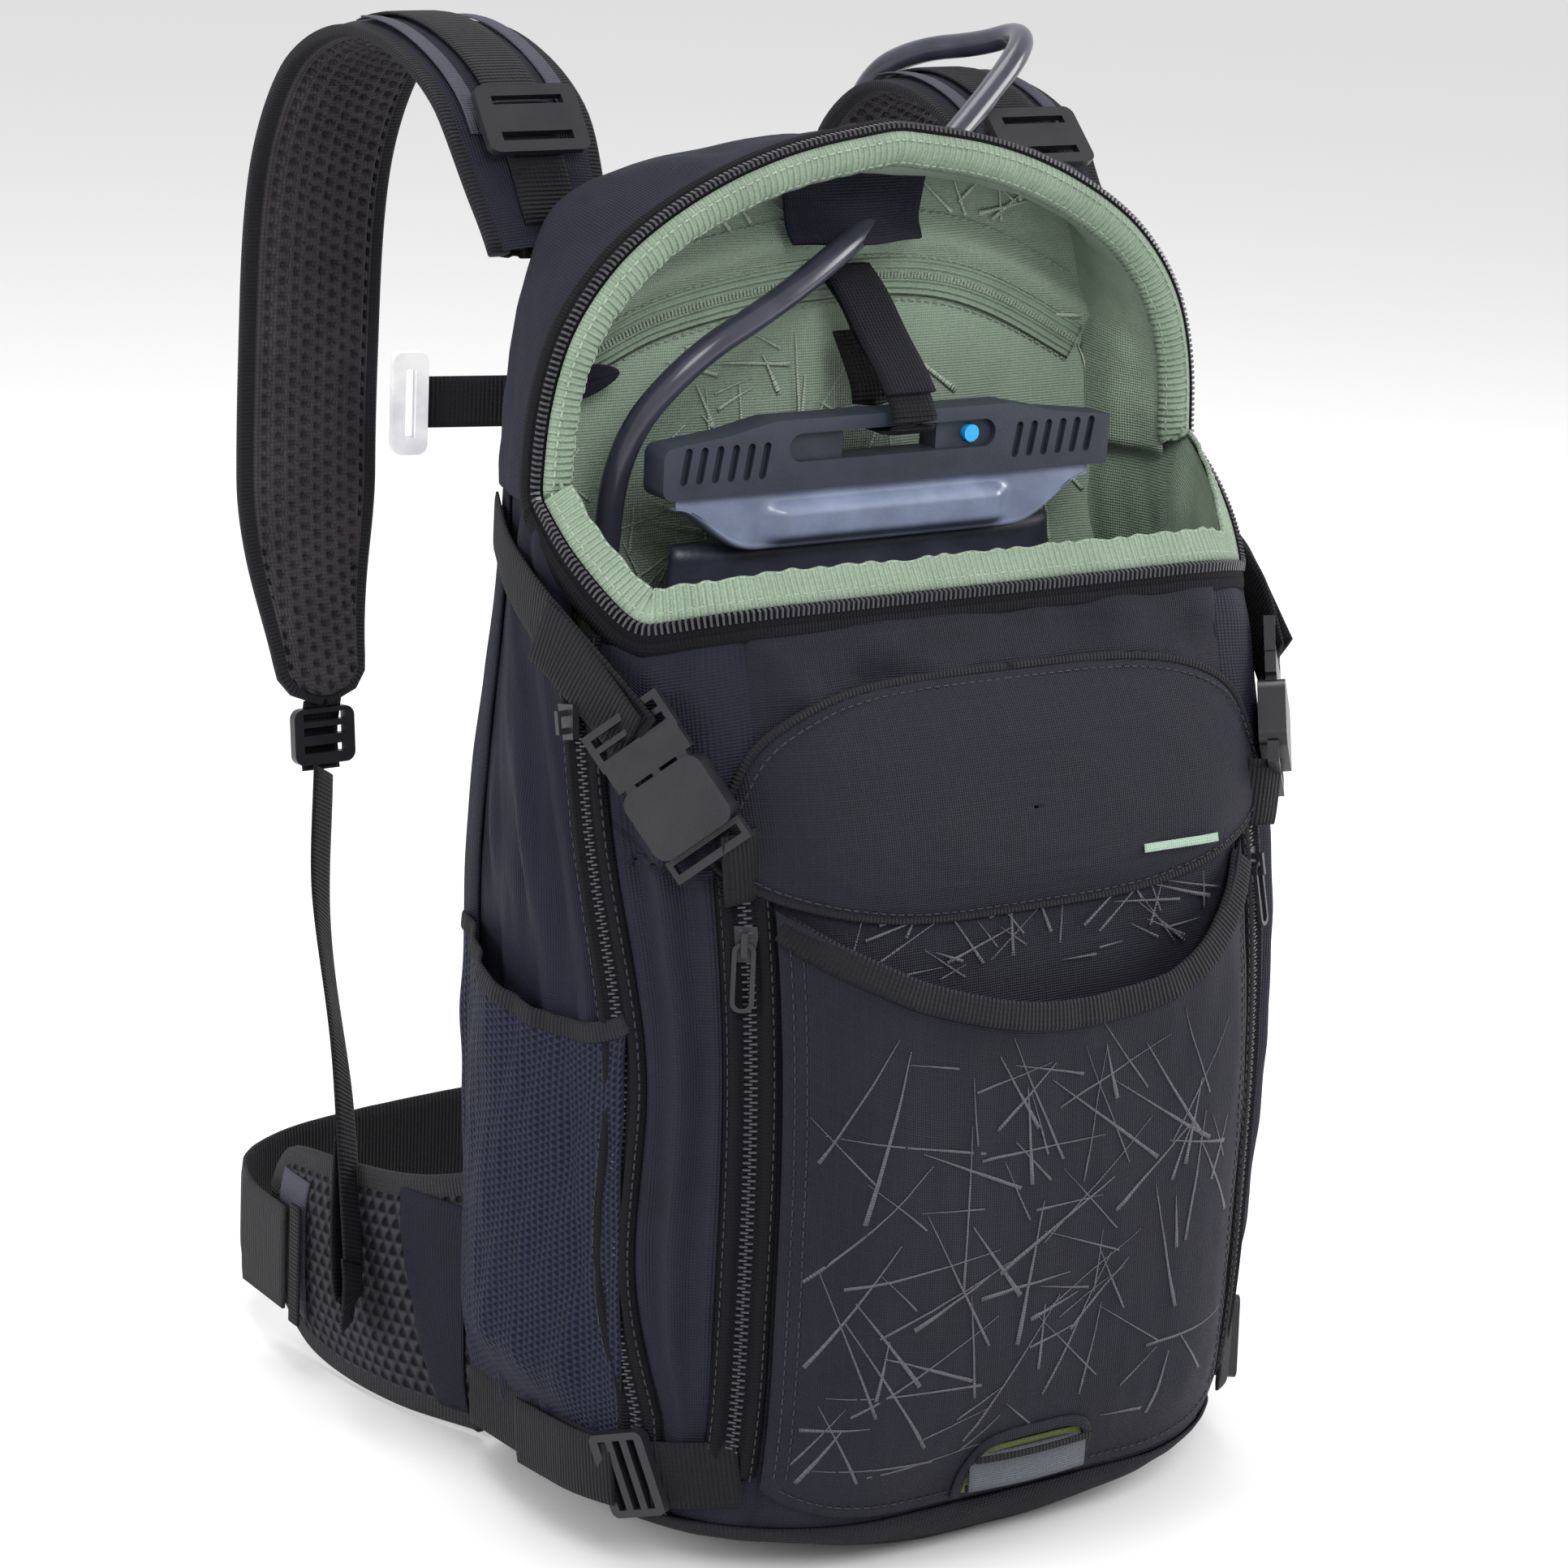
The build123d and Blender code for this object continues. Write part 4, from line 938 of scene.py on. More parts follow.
zip_route = [(wall(x, through(ZIP_LINE, x)[0]) - Vector((0, 3.2, 0)),
              FRONT) for x in np.linspace(-108, 112, 120)]
band("inner_zip_tape", [([p for p, f in zip_route], FRONT)], 15.0, 0.9, lining_tape,
     replaces=["inner_pocket_zip"], slot="lining")
stitches("inner_zip_coil", [[(p - Vector((0, 1.0, 0)), f) for p, f in zip_route]], pale_thread, pitch=1.5,
         length=1.0,
         width=2.6, slot="lining")
for drop in (9.0, -7.0, -23.0):
    stitches(f"wall_stitches_{int(drop + 30)}", [[
        (wall(x, through(ZIP_LINE, x)[0] - drop) - Vector((0, 1.2, 0)), FRONT)
        for x in np.linspace(-104, 110, 100)]], pale_thread, slot="lining")
LEAF_X, LEAF_Z = -104, 402
leaf = []
for k in range(25):
    c, s = math.cos(2 * math.pi * k / 24), math.sin(2 * math.pi * k / 24)
    leaf.append((LEAF_X + 12.5 * c, LEAF_Z + 5.6 * s * (1 - 0.35 * c) + 2 * c))
leaf_rows = [[Vector((mix(LEAF_X, x, share), WALL_Y - 9 - 1.4 * (1 - share), mix(LEAF_Z, z, share))) for x,
              z in leaf]
             for share in (0.02, 0.4, 0.8, 1.0)]
cloth("inner_zip_leaf_pull", [leaf_rows], body_cloth, thick=1.6, slot="lining")

cloth("upper_lining_cloth", [upper_rows(RIM_Y + 1, WALL_Y + 2, 14, 11.0, -2.0, 19)], lining, thick=0.8,
                     slot="lining")


def lining_rows():
    """The lining inside the front and sides, from near the base up to the bound edge, in the darker copy of the
    lining that is painted shade.
    """
    rows = []
    for i in range(71):
        v, row = i / 70, []
        for j in range(161):
            share = mix(-1, 1, j / 160)
            z = 340.0
            for _ in range(3):
                way = share * way_to_y(WALL_Y + 1, z)
                top = edge_height(way) + 7 if abs(way) < way_to_y(RIM_Y, z) else 376.0
                z = mix(28.0, top, v)
            fold = 2.6 * crumple(way / 26, z / 40, 44) + 1.5 * crumple(way / 9, z / 60, 14)
            depth = mix(5.0 + 7.0 * v ** 6 + fold * (0.4 + 0.6 * v), 6.0, ease(0.90, 1.0, v))
            row.append(shell(way, z, -depth)[0])
        rows.append(row)
    return rows


# the inside front and sides get the lining painted darker, as painted shade
cloth("side_lining_cloth", [lining_rows()], lining_painted_shade, thick=0.8, slot="lining")

port_rows = []
for k in range(13):
    z = mix(446.0, 476.0, k / 12)
    half = mix(27.0, 32.0, k / 12)
    port_rows.append([wall(mix(-1, 1, j / 24) * half + 3, z)
                      - Vector((0, 9.0 + 7.0 * (1 - k / 12) * math.sin(j / 24 * math.pi) ** 2, 0))
                      for j in range(25)])
cloth("hose_port_patch", [port_rows], body_cloth, thick=1.6, replaces=["hose_port"], slot="shell_fabric")

# ---------------------------------------------------------------- front pieces
HOOD = [(0, 316), (60, 314), (92, 304), (107, 286), (112, 258), (62, 240), (0, 237),
        (-62, 240), (-112, 258), (-107, 286), (-92, 304), (-60, 314)]


def closed_outline(corners, count):
    """A smooth closed outline through the corners."""
    pts = [Vector(c) for c in corners]
    out = []
    for k in range(count):
        at = k / count * len(pts)
        i, t = int(at), at - int(at)
        p0, p1, p2, p3 = pts[i - 1], pts[i], pts[(i + 1) % len(pts)], pts[(i + 2) % len(pts)]
        out.append(0.5 * (2 * p1 + (p2 - p0) * t + (2 * p0 - 5 * p1 + 4 * p2 - p3) * t * t
                          + (3 * p1 - p0 - 3 * p2 + p3) * t ** 3))
    return out


def on_front(x, z, lift):
    """A point over the shell's front at x and z."""
    side = 1 if x >= 0 else -1
    return shell(side * way_to_x(abs(x), z), z, lift)[0]


def disc_patch(outline, centre, lift, rings):
    """Rows of rings from a centre out to a closed outline, on the front."""
    rows = []
    for r in rings:
        rows.append([on_front(mix(centre[0], p.x, r), mix(centre[1], p.y, r), lift(r, p)) for p in outline])
    return rows


def hood_lift(r, p):
    """How far the hood stands off the front: r is 0 at its middle and 1 at its edge."""
    return 2.0 + 9.5 * (1 - r ** 2.2) ** 0.8 + 0.5 * crumple(p.x * r / 30, p.y * r / 14, 3)


hood_outline = closed_outline(HOOD, 150)
RINGS = [0.01] + [k / 26 for k in range(1, 27)]
cloth("hood_cloth", [disc_patch(hood_outline, (0, 272), hood_lift, RINGS)], ripstop, thick=1.2, around=True,
      plan_uv=True,
             replaces=["hood_panel"], slot="ripstop")
hood_edge = [on_front(p.x, p.y, 2.6) for p in hood_outline]
band("hood_piping", [(hood_edge + hood_edge[:1], Vector((0, -1, 0.3)))], 2.8, 2.6, edge_tape, slot="ripstop")
hood_stitch = [(on_front(p.x * 0.965, 272 + (p.y - 272) * 0.93, 4.8),
                Vector((0, -1, 0.2))) for p in hood_outline]
stitches("hood_stitches", [hood_stitch + hood_stitch[:1]], slot="ripstop")
mark_rows = [[on_front(x, z, 9.4) for x in np.linspace(46, 78, 24)] for z in np.linspace(251.0, 254.0, 4)]
cloth("hood_mark", [mark_rows], mint_print, thick=0.2, slot="ripstop")

POCKET_TOP = [(-98, 246), (-77, 233), (-51, 220), (-6, 209), (41, 210), (67, 219), (98, 246)]


def pocket(x, z):
    """The stretch front pocket: it bellies out, and its mouth sags open."""
    mouth = through(POCKET_TOP, x)[0]
    side = 1 - (abs(x) / 99) ** 4
    low = ease(24, 60, z)
    slack = 5.0 * math.exp(-((mouth - z) / 18) ** 2) * (1 - (x / 99) ** 2)
    folds = 1.1 * crumple(x / 26, z / 60, 2) + 0.5 * crumple(x / 9, z / 18, 6)
    return on_front(x, z, 1.6 + POCKET_BULGE * max(0.0, side) * low + slack + folds * low)


pocket_rows = []
for k in range(111):
    v = k / 110
    row = []
    for j in range(101):
        x = mix(-98, 98, j / 100)
        low = 26.0 + 14.0 * (abs(x) / 98) ** 6
        row.append(pocket(x, mix(low, through(POCKET_TOP, x)[0], v)))
    pocket_rows.append(row)
cloth("stash_pocket_cloth", [pocket_rows], ripstop, thick=1.2, replaces=["stash_pocket"], slot="ripstop")
print_area = ((-94, 94), (40, 205))
strokes("pocket_print_strokes", lambda x, z: pocket(x, z) + Vector((0, -0.75, 0)), print_area, 92, 5,
        pocket_print,
        longest=62, widest=1.9, slot="ripstop")
strokes("pocket_throat_strokes", lambda x, z: on_front(x, z, 3.2), ((-84, 84), (214, 244)), 36, 8, pocket_print,
        longest=30, widest=1.6, slot="ripstop")
mouth = [pocket(x, through(POCKET_TOP, x)[0] - 4.5) + Vector((0, -0.9, 0)) for x in np.linspace(-97, 97, 90)]
band("pocket_mouth_tape", [(mouth, Vector((0, -1, 0.25)))], 10.0, 1.6, webbing_cloth, ripple=0.4,
     replaces=["pocket_mouth_band"], slot="webbing")
for inset in (3.0, 6.5):
    seam = [(pocket(side * (98 - inset), z) + Vector((0, -0.8, 0)), Vector((side * 0.5, -1, 0)).normalized())
            for side in SIDES for z in ([*np.linspace(236, 44,
                                                      60)] if side < 0 else [*np.linspace(44, 236, 60)])]
    stitches(f"pocket_stitches_{int(inset)}", [seam[:60], seam[60:]], slot="ripstop")
foot = [(pocket(x, 30 + 14 * (abs(x) / 98) ** 6) + Vector((0, -0.8, 0)),
         FRONT) for x in np.linspace(-92, 92, 90)]
stitches("pocket_foot_stitches", [foot], slot="ripstop")

# light loop: an olive recess with a reflective strap across it
recess = [[pocket(x, z) + Vector((0, -1.1, 0)) for x in np.linspace(-24, 24,
                                                                    25)] for z in np.linspace(28, 48, 10)]
cloth("light_recess", [recess], olive_cloth, thick=0.5, slot="reflective")
def light_line(z, lift):
    """A line across the light strap, which stands off the pocket in its middle."""
    return [pocket(x, z) + Vector((0, -lift - 2.0 * math.cos(x / 26 * math.pi / 2),
                                   0)) for x in np.linspace(-25, 25, 30)]


band("light_strap", [(light_line(38, 3.2), FRONT)], 14.0, 1.2, reflective, replaces=["light_loop"],
     slot="reflective")
for z in (31.6, 44.4):
    band(f"light_strap_edge_{int(z)}", [(light_line(z, 4.2), FRONT)], 2.4, 1.2, edge_tape, slot="reflective")
frame_line = [(-27, 27), (-26, 40), (-20, 50), (0, 52), (20, 50), (26, 40), (27, 27)]
path = [pocket(p.x, p.y) + FRONT * 1.6 for p in smooth_path(frame_line, 2.5)]
band("light_frame_tape", [(path, FRONT)], 4.0, 1.6, ripstop, slot="ripstop")


# ---------------------------------------------------------------- zips
ZIP_PROFILE = ((-9, 0.6), (-6.5, 2.6), (-4.6, 2.8), (-3.6, 1.2), (0, 0.8), (3.6, 1.2), (4.6, 2.8), (6.5, 2.6),
               (9, 0.6))


def closed_zip(name, paths, replaces):
    """Tape with raised edges and a closed coil down its middle, for paths of (way, z) pairs."""
    tapes, teeth, seams = [], [], []
    for path in paths:
        tapes.append([[shell(way + across, z, lift)[0] for way, z in path] for across, lift in ZIP_PROFILE])
        line = [shell(way, z, 1.2) for way, z in path]
        carried, count = 0.0, 0
        for (here, normal), (there, _) in zip(line, line[1:]):
            step = there - here
            wide = normal.cross(step).normalized()
            while carried < step.length:
                shift = 0.9 if count % 2 else -0.9
                teeth.append((here + step.normalized() * carried + wide * shift, wide, normal))
                carried += 1.25
                count += 1
            carried -= step.length
        for across in (-7.6, 7.6):
            seams.append([(shell(way + across, z, 2.4)[0], shell(way, z)[1]) for way, z in path])
    piece = cloth(f"{name}_tape", tapes, zip_cloth, thick=0.8, replaces=replaces, slot="zip_tape")
    studs(f"{name}_coil", teeth, (3.6, 0.8, 1.3), zip_teeth, slot="zip_tape")
    stitches(f"{name}_stitches", seams, slot="zip_tape")
    return piece


front_paths = [[(side * way_to_x(FRONT_ZIP_X, z), z) for z in np.linspace(*FRONT_ZIP_Z, 120)] for side in SIDES]
closed_zip("front_zip", front_paths, ["front_zips"])
side_paths = [[(side * way_to_y(side_zip_y(z), z), z) for z in np.linspace(25, 330, 150)] for side in SIDES]
closed_zip("side_zip", side_paths, ["side_zips"])

# ---------------------------------------------------------------- side pockets
POCKET_ARC = [(-36, 129), (22, 153), (64, 139)]


def net_pocket(side, y, z, v):
    """A stretch net pocket that stands off the side, gathered at its mouth."""
    out = through(POCKET_ARC, y)[0]
    base = abs(shell(way_to_y(y, z), z)[0].x)
    foot = ease(0.0, 0.22, v)
    folds = 2.2 * crumple(y / 9 + z / 40, z / 70, 5 + side) + 1.2 * crumple(y / 5, z / 24, 3)
    reach = mix(base + 1.8, max(out + 1.5, base + 2.5), foot) + folds * foot * 0.8
    return Vector((side * reach, y, z))


net_patches, hem_routes = [], []
for side in SIDES:
    rows = []
    for k in range(81):
        v = k / 80
        row = []
        for j in range(61):
            u = j / 60
            y = mix(-36, 64, u)
            top = 205 - 12 * math.sin(math.pi * u) ** 0.8 * (1 - u) * 1.6 + 8 * u
            row.append(net_pocket(side, y, mix(40.0, top, v), v))
        rows.append(row)
    net_patches.append(rows)
    hem_routes.append(([p + Vector((side * 0.4, 0, -2.0)) for p in rows[-1]], Vector((side, 0, 0))))
for side, rows, hem in zip(SIDES, net_patches, hem_routes):
    cloth(f"side_pocket_net_{SIDE_NAME[side]}", [rows], pocket_net, thick=0.9,
                         replaces=[f"side_pocket_{SIDE_NAME[side]}"], slot="mesh_fabric")
    band(f"side_pocket_hem_{SIDE_NAME[side]}", [hem], 7.0, 1.8, edge_tape, slot="mesh_fabric")


# ---------------------------------------------------------------- reservoir
def bag_half(z):
    """Half width and half depth of the reservoir bag at height z."""
    return through([(54, 60, 4), (66, 74, 12), (84, 84, 17), (140, 86, 17), (240, 86, 15), (310, 84, 10),
                    (346, 81, 6)], z)


bag_rows = []
for k in range(61):
    z = mix(54.0, 346.0, k / 60)
    half_x, half_y = bag_half(z)
    centre_y = mix(44, 36, ease(240, 340, z))
    row = []
    for j in range(72):
        turn = 2 * math.pi * j / 72
        c, s = math.cos(turn), math.sin(turn)
        fold = 1.6 * crumple(c * 3 + z / 30, z / 22, 9) * ease(60, 120, z) * (1 - ease(325, 346, z))
        row.append(Vector((half_x * math.copysign(abs(c) ** 0.6, c),
                           centre_y + (half_y + fold) * math.copysign(abs(s) ** 0.8, s), z)))
    bag_rows.append(row)
bag_rows.insert(0, [Vector((p.x * 0.05, mix(44, p.y, 0.05), 54)) for p in bag_rows[0]])
bag_rows.append([Vector((p.x * 0.05, mix(36, p.y, 0.05), 346)) for p in bag_rows[-1]])
cloth("reservoir_film_bag", [bag_rows], film, thick=0, around=True, replaces=["reservoir_bag"],
      slot="reservoir_film")

rail_rows = []
for k in range(31):
    v = k / 30
    row = []
    for j in range(121):
        x = mix(-88, 88, j / 120)
        foot = 345.0 + 17.0 * ease(52, 88, abs(x)) ** 1.4
        z = mix(foot, 366.0, v)
        belly = (1 - ease(44, 54, abs(x))) * ease(346, 351, z) * (1 - ease(358, 363, z))
        lip = 1.2 * (1 - ease(0.0, 0.12, v))
        row.append(Vector((x, 23.0 - 5.0 * belly - 0.8 * lip + 7.0 * (1 - ease(0.0, 0.05, v)), z)))
    rail_rows.append(row)
cloth("reservoir_rail_shell", [rail_rows], clear_plastic, thick=1.2, replaces=["reservoir_rail"],
      slot="clear_plastic")

HANGER = [(66, 434), (50, 424), (38, 412), (24, 402), (16.2, 394), (13.6, 388.4), (16.6, 384.3), (27, 383.8),
          (36.5, 384.3), (38.6, 388), (41, 397), (54, 414)]
hanger_path = smooth_path([(4, y, z) for y, z in HANGER], 2.0)
band("reservoir_hanger_tape", [(hanger_path,
                                [Vector((0, p.z - 390, 40 - p.y)).normalized() for p in hanger_path])],
              18.5, 1.5, webbing_cloth, replaces=["reservoir_hanger"], slot="webbing")
flap = [(4, y, z) for y, z in ((62, 436), (50, 428), (36, 415), (24, 405), (17, 398))]
flap_path = smooth_path(flap, 2.0)
band("hanger_flap", [(flap_path, Vector((0, -0.75, 0.65)))], 21.0, 2.2, base_cloth, slot="webbing")

hose_curve = bpy.data.curves.new("drink_hose_tube", "CURVE")
hose_curve.dimensions = "3D"
hose_curve.bevel_depth = HOSE_DIAMETER / 2
hose_curve.bevel_resolution = 6
hose_curve.use_fill_caps = True
spline = hose_curve.splines.new("NURBS")
spline.points.add(len(HOSE_ROUTE) - 1)
for control, place in zip(spline.points, HOSE_ROUTE):
    control.co = (*metres(place), 1)
spline.order_u = 3
spline.use_endpoint_u = True
spline.resolution_u = 10
hose_curve.materials.append(hose_tube)
hose = bpy.data.objects.new("drink_hose_tube", hose_curve)
bpy.context.scene.collection.objects.link(hose)
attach(hose, "pack")
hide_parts("drink_hose")


# ---------------------------------------------------------------- compression straps
def strap_path(side, start, end, lift, count):
    """A path over the shell between two (way, z) places, with its normals. lift runs from 0 to 1."""
    made = []
    for k in range(count + 1):
        t = k / count
        way, z = mix(start[0], end[0], t), mix(start[1], end[1], t)
        made.append(shell(side * way, z, lift(t)))
    return [p for p, n in made], [n for p, n in made]


JOINTS = {joint["name"]: joint for joint in frame["joints"]}
for side in SIDES:
    name = SIDE_NAME[side]
    buckle_low, buckle_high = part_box(f"upper_buckle_male_{name}")
    buckle = [c / MM for c in (buckle_low + buckle_high) / 2]
    axis = Vector(JOINTS[f"upper_buckle_release_{name}"]["axis"])
    inner = Vector(buckle) + axis * 9
    start, normal = shell(side * way_to_y(70, 352), 352, 2.6)
    mid, mid_normal = shell(side * way_to_y(20, 333), 333, 4.5)
    near, near_normal = shell(side * way_to_y(-8, 318), 318, 6.5)
    path = smooth_path([start, (start + mid) / 2 + normal * 2.5, mid, near, inner - axis * 2], 3.0)
    faces = []
    for k, p in enumerate(path):
        t = k / (len(path) - 1)
        face = normal * (1 - t) + near_normal * t
        faces.append((face - axis * face.dot(axis) * t).normalized())
    strap = band(f"upper_strap_web_{name}", [(path, faces)], 24.0, 1.7, webbing_cloth, body=None,
                 replaces=[f"upper_strap_{name}"], slot="webbing")
    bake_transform(strap)
    tail = [inner - axis + normal * 2, mid * 0.35 + near * 0.65 + near_normal * 3,
            mid * 0.7 + near * 0.3 + mid_normal * 4.5]
    tail_path = smooth_path(tail, 3.0)
    tail_faces = faces[-len(tail_path):] if len(tail_path) <= len(faces) else near_normal
    band(f"upper_strap_tail_{name}", [(tail_path, tail_faces)], 24.0, 1.5, webbing_cloth,
         body=f"upper_buckle_{name}", slot="webbing")
    anchor_point, anchor_normal = shell(side * way_to_x(101, 262), 262, 2.0)
    female_end = Vector(buckle) - axis * 44
    web = smooth_path([anchor_point, (anchor_point + female_end) / 2 + anchor_normal * 1.5, female_end], 3.0)
    band(f"female_web_{name}", [(web, anchor_normal)], 24.0, 1.8, webbing_cloth, slot="webbing")

lower_routes = []
for side in SIDES:
    way_back, way_adj, way_front = way_to_y(66, 30), way_to_x(125.5, 40), way_to_x(104, 45)
    lower_routes += [strap_path(side, (way_back, 28), (way_adj + 8, 38), lambda t: 2.6 + 3.0 * t, 60),
                     strap_path(side, (way_adj - 6, 41), (way_front, 46), lambda t: 5.6 - 3.4 * t, 16),
                     strap_path(side, (way_adj + 6, 38.5), (way_adj + 62, 31), lambda t: 8.4 - 1.2 * t, 30)]
band("lower_strap_webs", lower_routes, 24.0, 1.7, webbing_cloth, replaces=["lower_straps"], slot="webbing")

# ---------------------------------------------------------------- harness
NET_PITCH = 5.2


def net_hole(u, v):
    """How deep the pad's net is at u across and v along: triangular holes in rows."""
    k = 2 * math.pi / NET_PITCH
    total = math.sin(k * u) + math.sin(k * (-0.5 * u + 0.866 * v)) + math.sin(k * (-0.5 * u - 0.866 * v))
    return ease(0.25, 1.3, total)


def strap_taper(t):
    """Width of a shoulder strap along its length: narrow at its lower end."""
    return mix(1.0, 0.62, ease(0.80, 1.0, t)) * mix(0.86, 1.0, ease(0.0, 0.12, t))


def strap_half(t):
    """Half width of a shoulder strap along its length, rounded at its end."""
    rounded = math.sqrt(max(0.0, 1 - ((t - 0.975) / 0.025) ** 2)) if t > 0.975 else 1.0
    return max(STRAP_HALF * strap_taper(t) * rounded, 3.0)


strap_lines = {}
for side in SIDES:
    name = SIDE_NAME[side]
    line = smooth_path([(side * STRAP_X, y, z) for y, z in [(76, 444), *STRAP_ROUTES[side]]], 1.15)
    centre = Vector((side * STRAP_X, 130, 330))
    rows_in, rows_out = [], []
    outward = []
    for k, point in enumerate(line):
        tangent = (line[min(k + 1, len(line) - 1)] - line[max(k - 1, 0)]).normalized()
        outward.append(Vector((0, -tangent.z, tangent.y)))
    if outward[len(outward) // 2].dot(line[len(line) // 2] - centre) < 0:
        outward = [-o for o in outward]
    strap_lines[side] = (line, outward)
    for k, point in enumerate(line):
        half = strap_half(k / (len(line) - 1))
        row_in = []
        for j in range(49):
            share = j / 24 - 1
            hollow = net_hole(share * half, k * 1.15) if abs(share) < 0.8 else 0.0
            crown = 4.6 * (1 - abs(share) ** 3.0)
            row_in.append(point + Vector((share * half, 0, 0)) - outward[k] * (0.6 + crown - 1.7 * hollow))
        rows_in.append(row_in)
        if k % 3 == 0 or k == len(line) - 1:
            rows_out.append([point + Vector((share * half, 0, 0)) + outward[k] * (
                0.6 + 3.4 * (1 - abs(share) ** 3) + 0.5 * crumple(share * 2, k / 26, 7))
                for share in np.linspace(-1, 1, 21)])
    pad = cloth(f"shoulder_strap_pad_{name}", [rows_in], pad_net, thick=0, replaces=[f"shoulder_strap_{name}"],
                slot="pad_mesh")
    cloth(f"shoulder_strap_cover_{name}", [rows_out], body_cloth, thick=0, slot="shell_fabric")
    edges = []
    for edge_side in SIDES:
        path, facing = [], []
        for k in range(0, len(line), 4):
            path.append(line[k] + Vector((edge_side * (strap_half(k / (len(line) - 1)) - 2.6), 0, 0)))
            facing.append(outward[k])
        edges.append((path, facing))
    band(f"shoulder_strap_binding_{name}", edges, 8.0, 4.2, edge_tape, crown=0.3, slot="webbing")
    # load strap and two pale strips on the outer face
    count = len(line)
    ks = range(int(count * 0.02), int(count * 0.36), 5)
    band(f"shoulder_strap_web_{name}", [([line[k] + outward[k] * 5.4 for k in ks], [outward[k] for k in ks])],
         22.0, 1.6, webbing_cloth, slot="webbing")
    ks = range(int(count * 0.10), int(count * 0.30), 5)
    tab_lines = [([line[k] + outward[k] * 4.4 + Vector((edge_side * 19, 0, 0)) for k in ks],
                  [outward[k] for k in ks]) for edge_side in SIDES]
    band(f"shoulder_strap_reflector_{name}", tab_lines, 6.0, 0.8, grey_cloth, slot="reflective")

strap_web_routes = []
for side in SIDES:
    end_y, end_z = STRAP_ROUTES[side][-1]
    wing_x = 151.0
    path = smooth_path([(side * STRAP_X, end_y - 1, end_z - 30), (side * 121, end_y * 0.55 + 82, 170),
                        (side * 139, 160, 118), (side * wing_x, 126, 60)], 3.0)
    strap_web_routes.append((path, Vector((side * 0.55, 0.84, 0.0))))
    path = smooth_path([(side * STRAP_X, end_y + 1, end_z - 2), (side * STRAP_X, end_y + 3.5, end_z - 16),
                        (side * STRAP_X, end_y + 1, end_z - 30)], 2.0)
    strap_web_routes.append((path, Vector((0, 1, 0))))
    path = smooth_path([(side * (wing_x + 0.5), 127, 60), (side * (wing_x + 2.5), 121, 48),
                        (side * (wing_x + 1.5), 128, 40),
                        (side * (wing_x - 1), 138, 60), (side * 143, 150, 100)], 2.5)
    strap_web_routes.append((path, Vector((side * 0.55, 0.84, 0.0))))
band("harness_webs", strap_web_routes, 16.0, 1.7, webbing_cloth, replaces=["strap_webbing"], slot="webbing")

# sternum strap
low, high = [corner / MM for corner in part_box("sternum_webs")]
across = Vector((high.x - low.x, low.y - high.y, 0)).normalized()
mid = (low + high) / 2
reach = (high.x - low.x) / 2 / across.x
female = [mid + across * d for d in np.linspace(-reach, -22, 24)]
male = [mid + across * d for d in np.linspace(24, reach, 24)]
band("sternum_web_left", [(female, Vector((0, 1, 0)))], 20.0, 1.6, webbing_cloth, body="sternum_strap",
     replaces=["sternum_webs"], slot="webbing")
male_web = band("sternum_web_right", [(male, Vector((0, 1, 0)))], 20.0, 1.6, webbing_cloth, body=None,
                slot="webbing")
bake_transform(male_web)

# ---------------------------------------------------------------- hip belt
WING_X = [(83, 121), (120, 135), (158, 141), (202, 142.5)]


def wing_edges(y):
    """Lowest and highest of the wing at depth y."""
    top = through([(80, 103), (110, 93), (150, 86), (190, 79), (198, 72), (204, 62)], y)[0]
    bottom = through([(80, 7), (120, 6), (170, 8), (190, 17), (204, 32)], y)[0]
    return bottom, top


def wing_point(side, y, z, way_out, lift=0.0):
    """A point on the wing's outer face, 1, or inner face, -1."""
    bottom, top = wing_edges(y)
    share = min(1.0, abs(2 * (z - bottom) / (top - bottom) - 1))
    bulge = 1.0 + 4.0 * (1 - share ** 3) * min(1.0, (204 - y) / 14 + 0.15)
    x = through(WING_X, y)[0] + way_out * (bulge + lift) + 0.8 * crumple(y / 22, z / 18, 5)
    return Vector((side * x, y, z))


for side in SIDES:
    name = SIDE_NAME[side]
    faces_rows = {way_out: [[wing_point(side, y, mix(*wing_edges(y), j / 40), way_out) for j in range(41)]
                            for y in [mix(80, 204, k / 60) for k in range(61)]] for way_out in SIDES}
    wing = cloth(f"hip_wing_face_{name}", [faces_rows[1]], knit, thick=0, replaces=[f"hip_wing_{name}"],
                 slot="pad_mesh")
    cloth(f"hip_wing_lining_{name}", [faces_rows[-1]], pad_net, thick=0, slot="pad_mesh")
    outline = ([Vector((side * through(WING_X, y)[0], y,
                        wing_edges(y)[1] - 1)) for y in np.linspace(80, 203, 36)]
               + [Vector((side * through(WING_X, y)[0], y,
                          wing_edges(y)[0] + 1)) for y in np.linspace(203, 80, 36)])
    band(f"hip_wing_binding_{name}", [(outline, Vector((side, 0, 0)))], 9.0, 4.4, grey_tape, slot="webbing")
    strip_rows = [[wing_point(side, y, z, 1, 0.7) for y in np.linspace(172, 192,
                                                                       16)] for z in np.linspace(19, 74, 30)]
    cloth(f"hip_wing_strip_{name}", [strip_rows], grey_cloth, thick=1.0, slot="reflective")
    gusset = [[wing_point(side, y, z, 1, 0.7) for y in np.linspace(84, mix(96, 118, (z - 8) / 84), 16)]
              for z in np.linspace(10, 91, 30)]
    cloth(f"hip_wing_gusset_{name}", [gusset], body_cloth, thick=1.0, slot="shell_fabric")

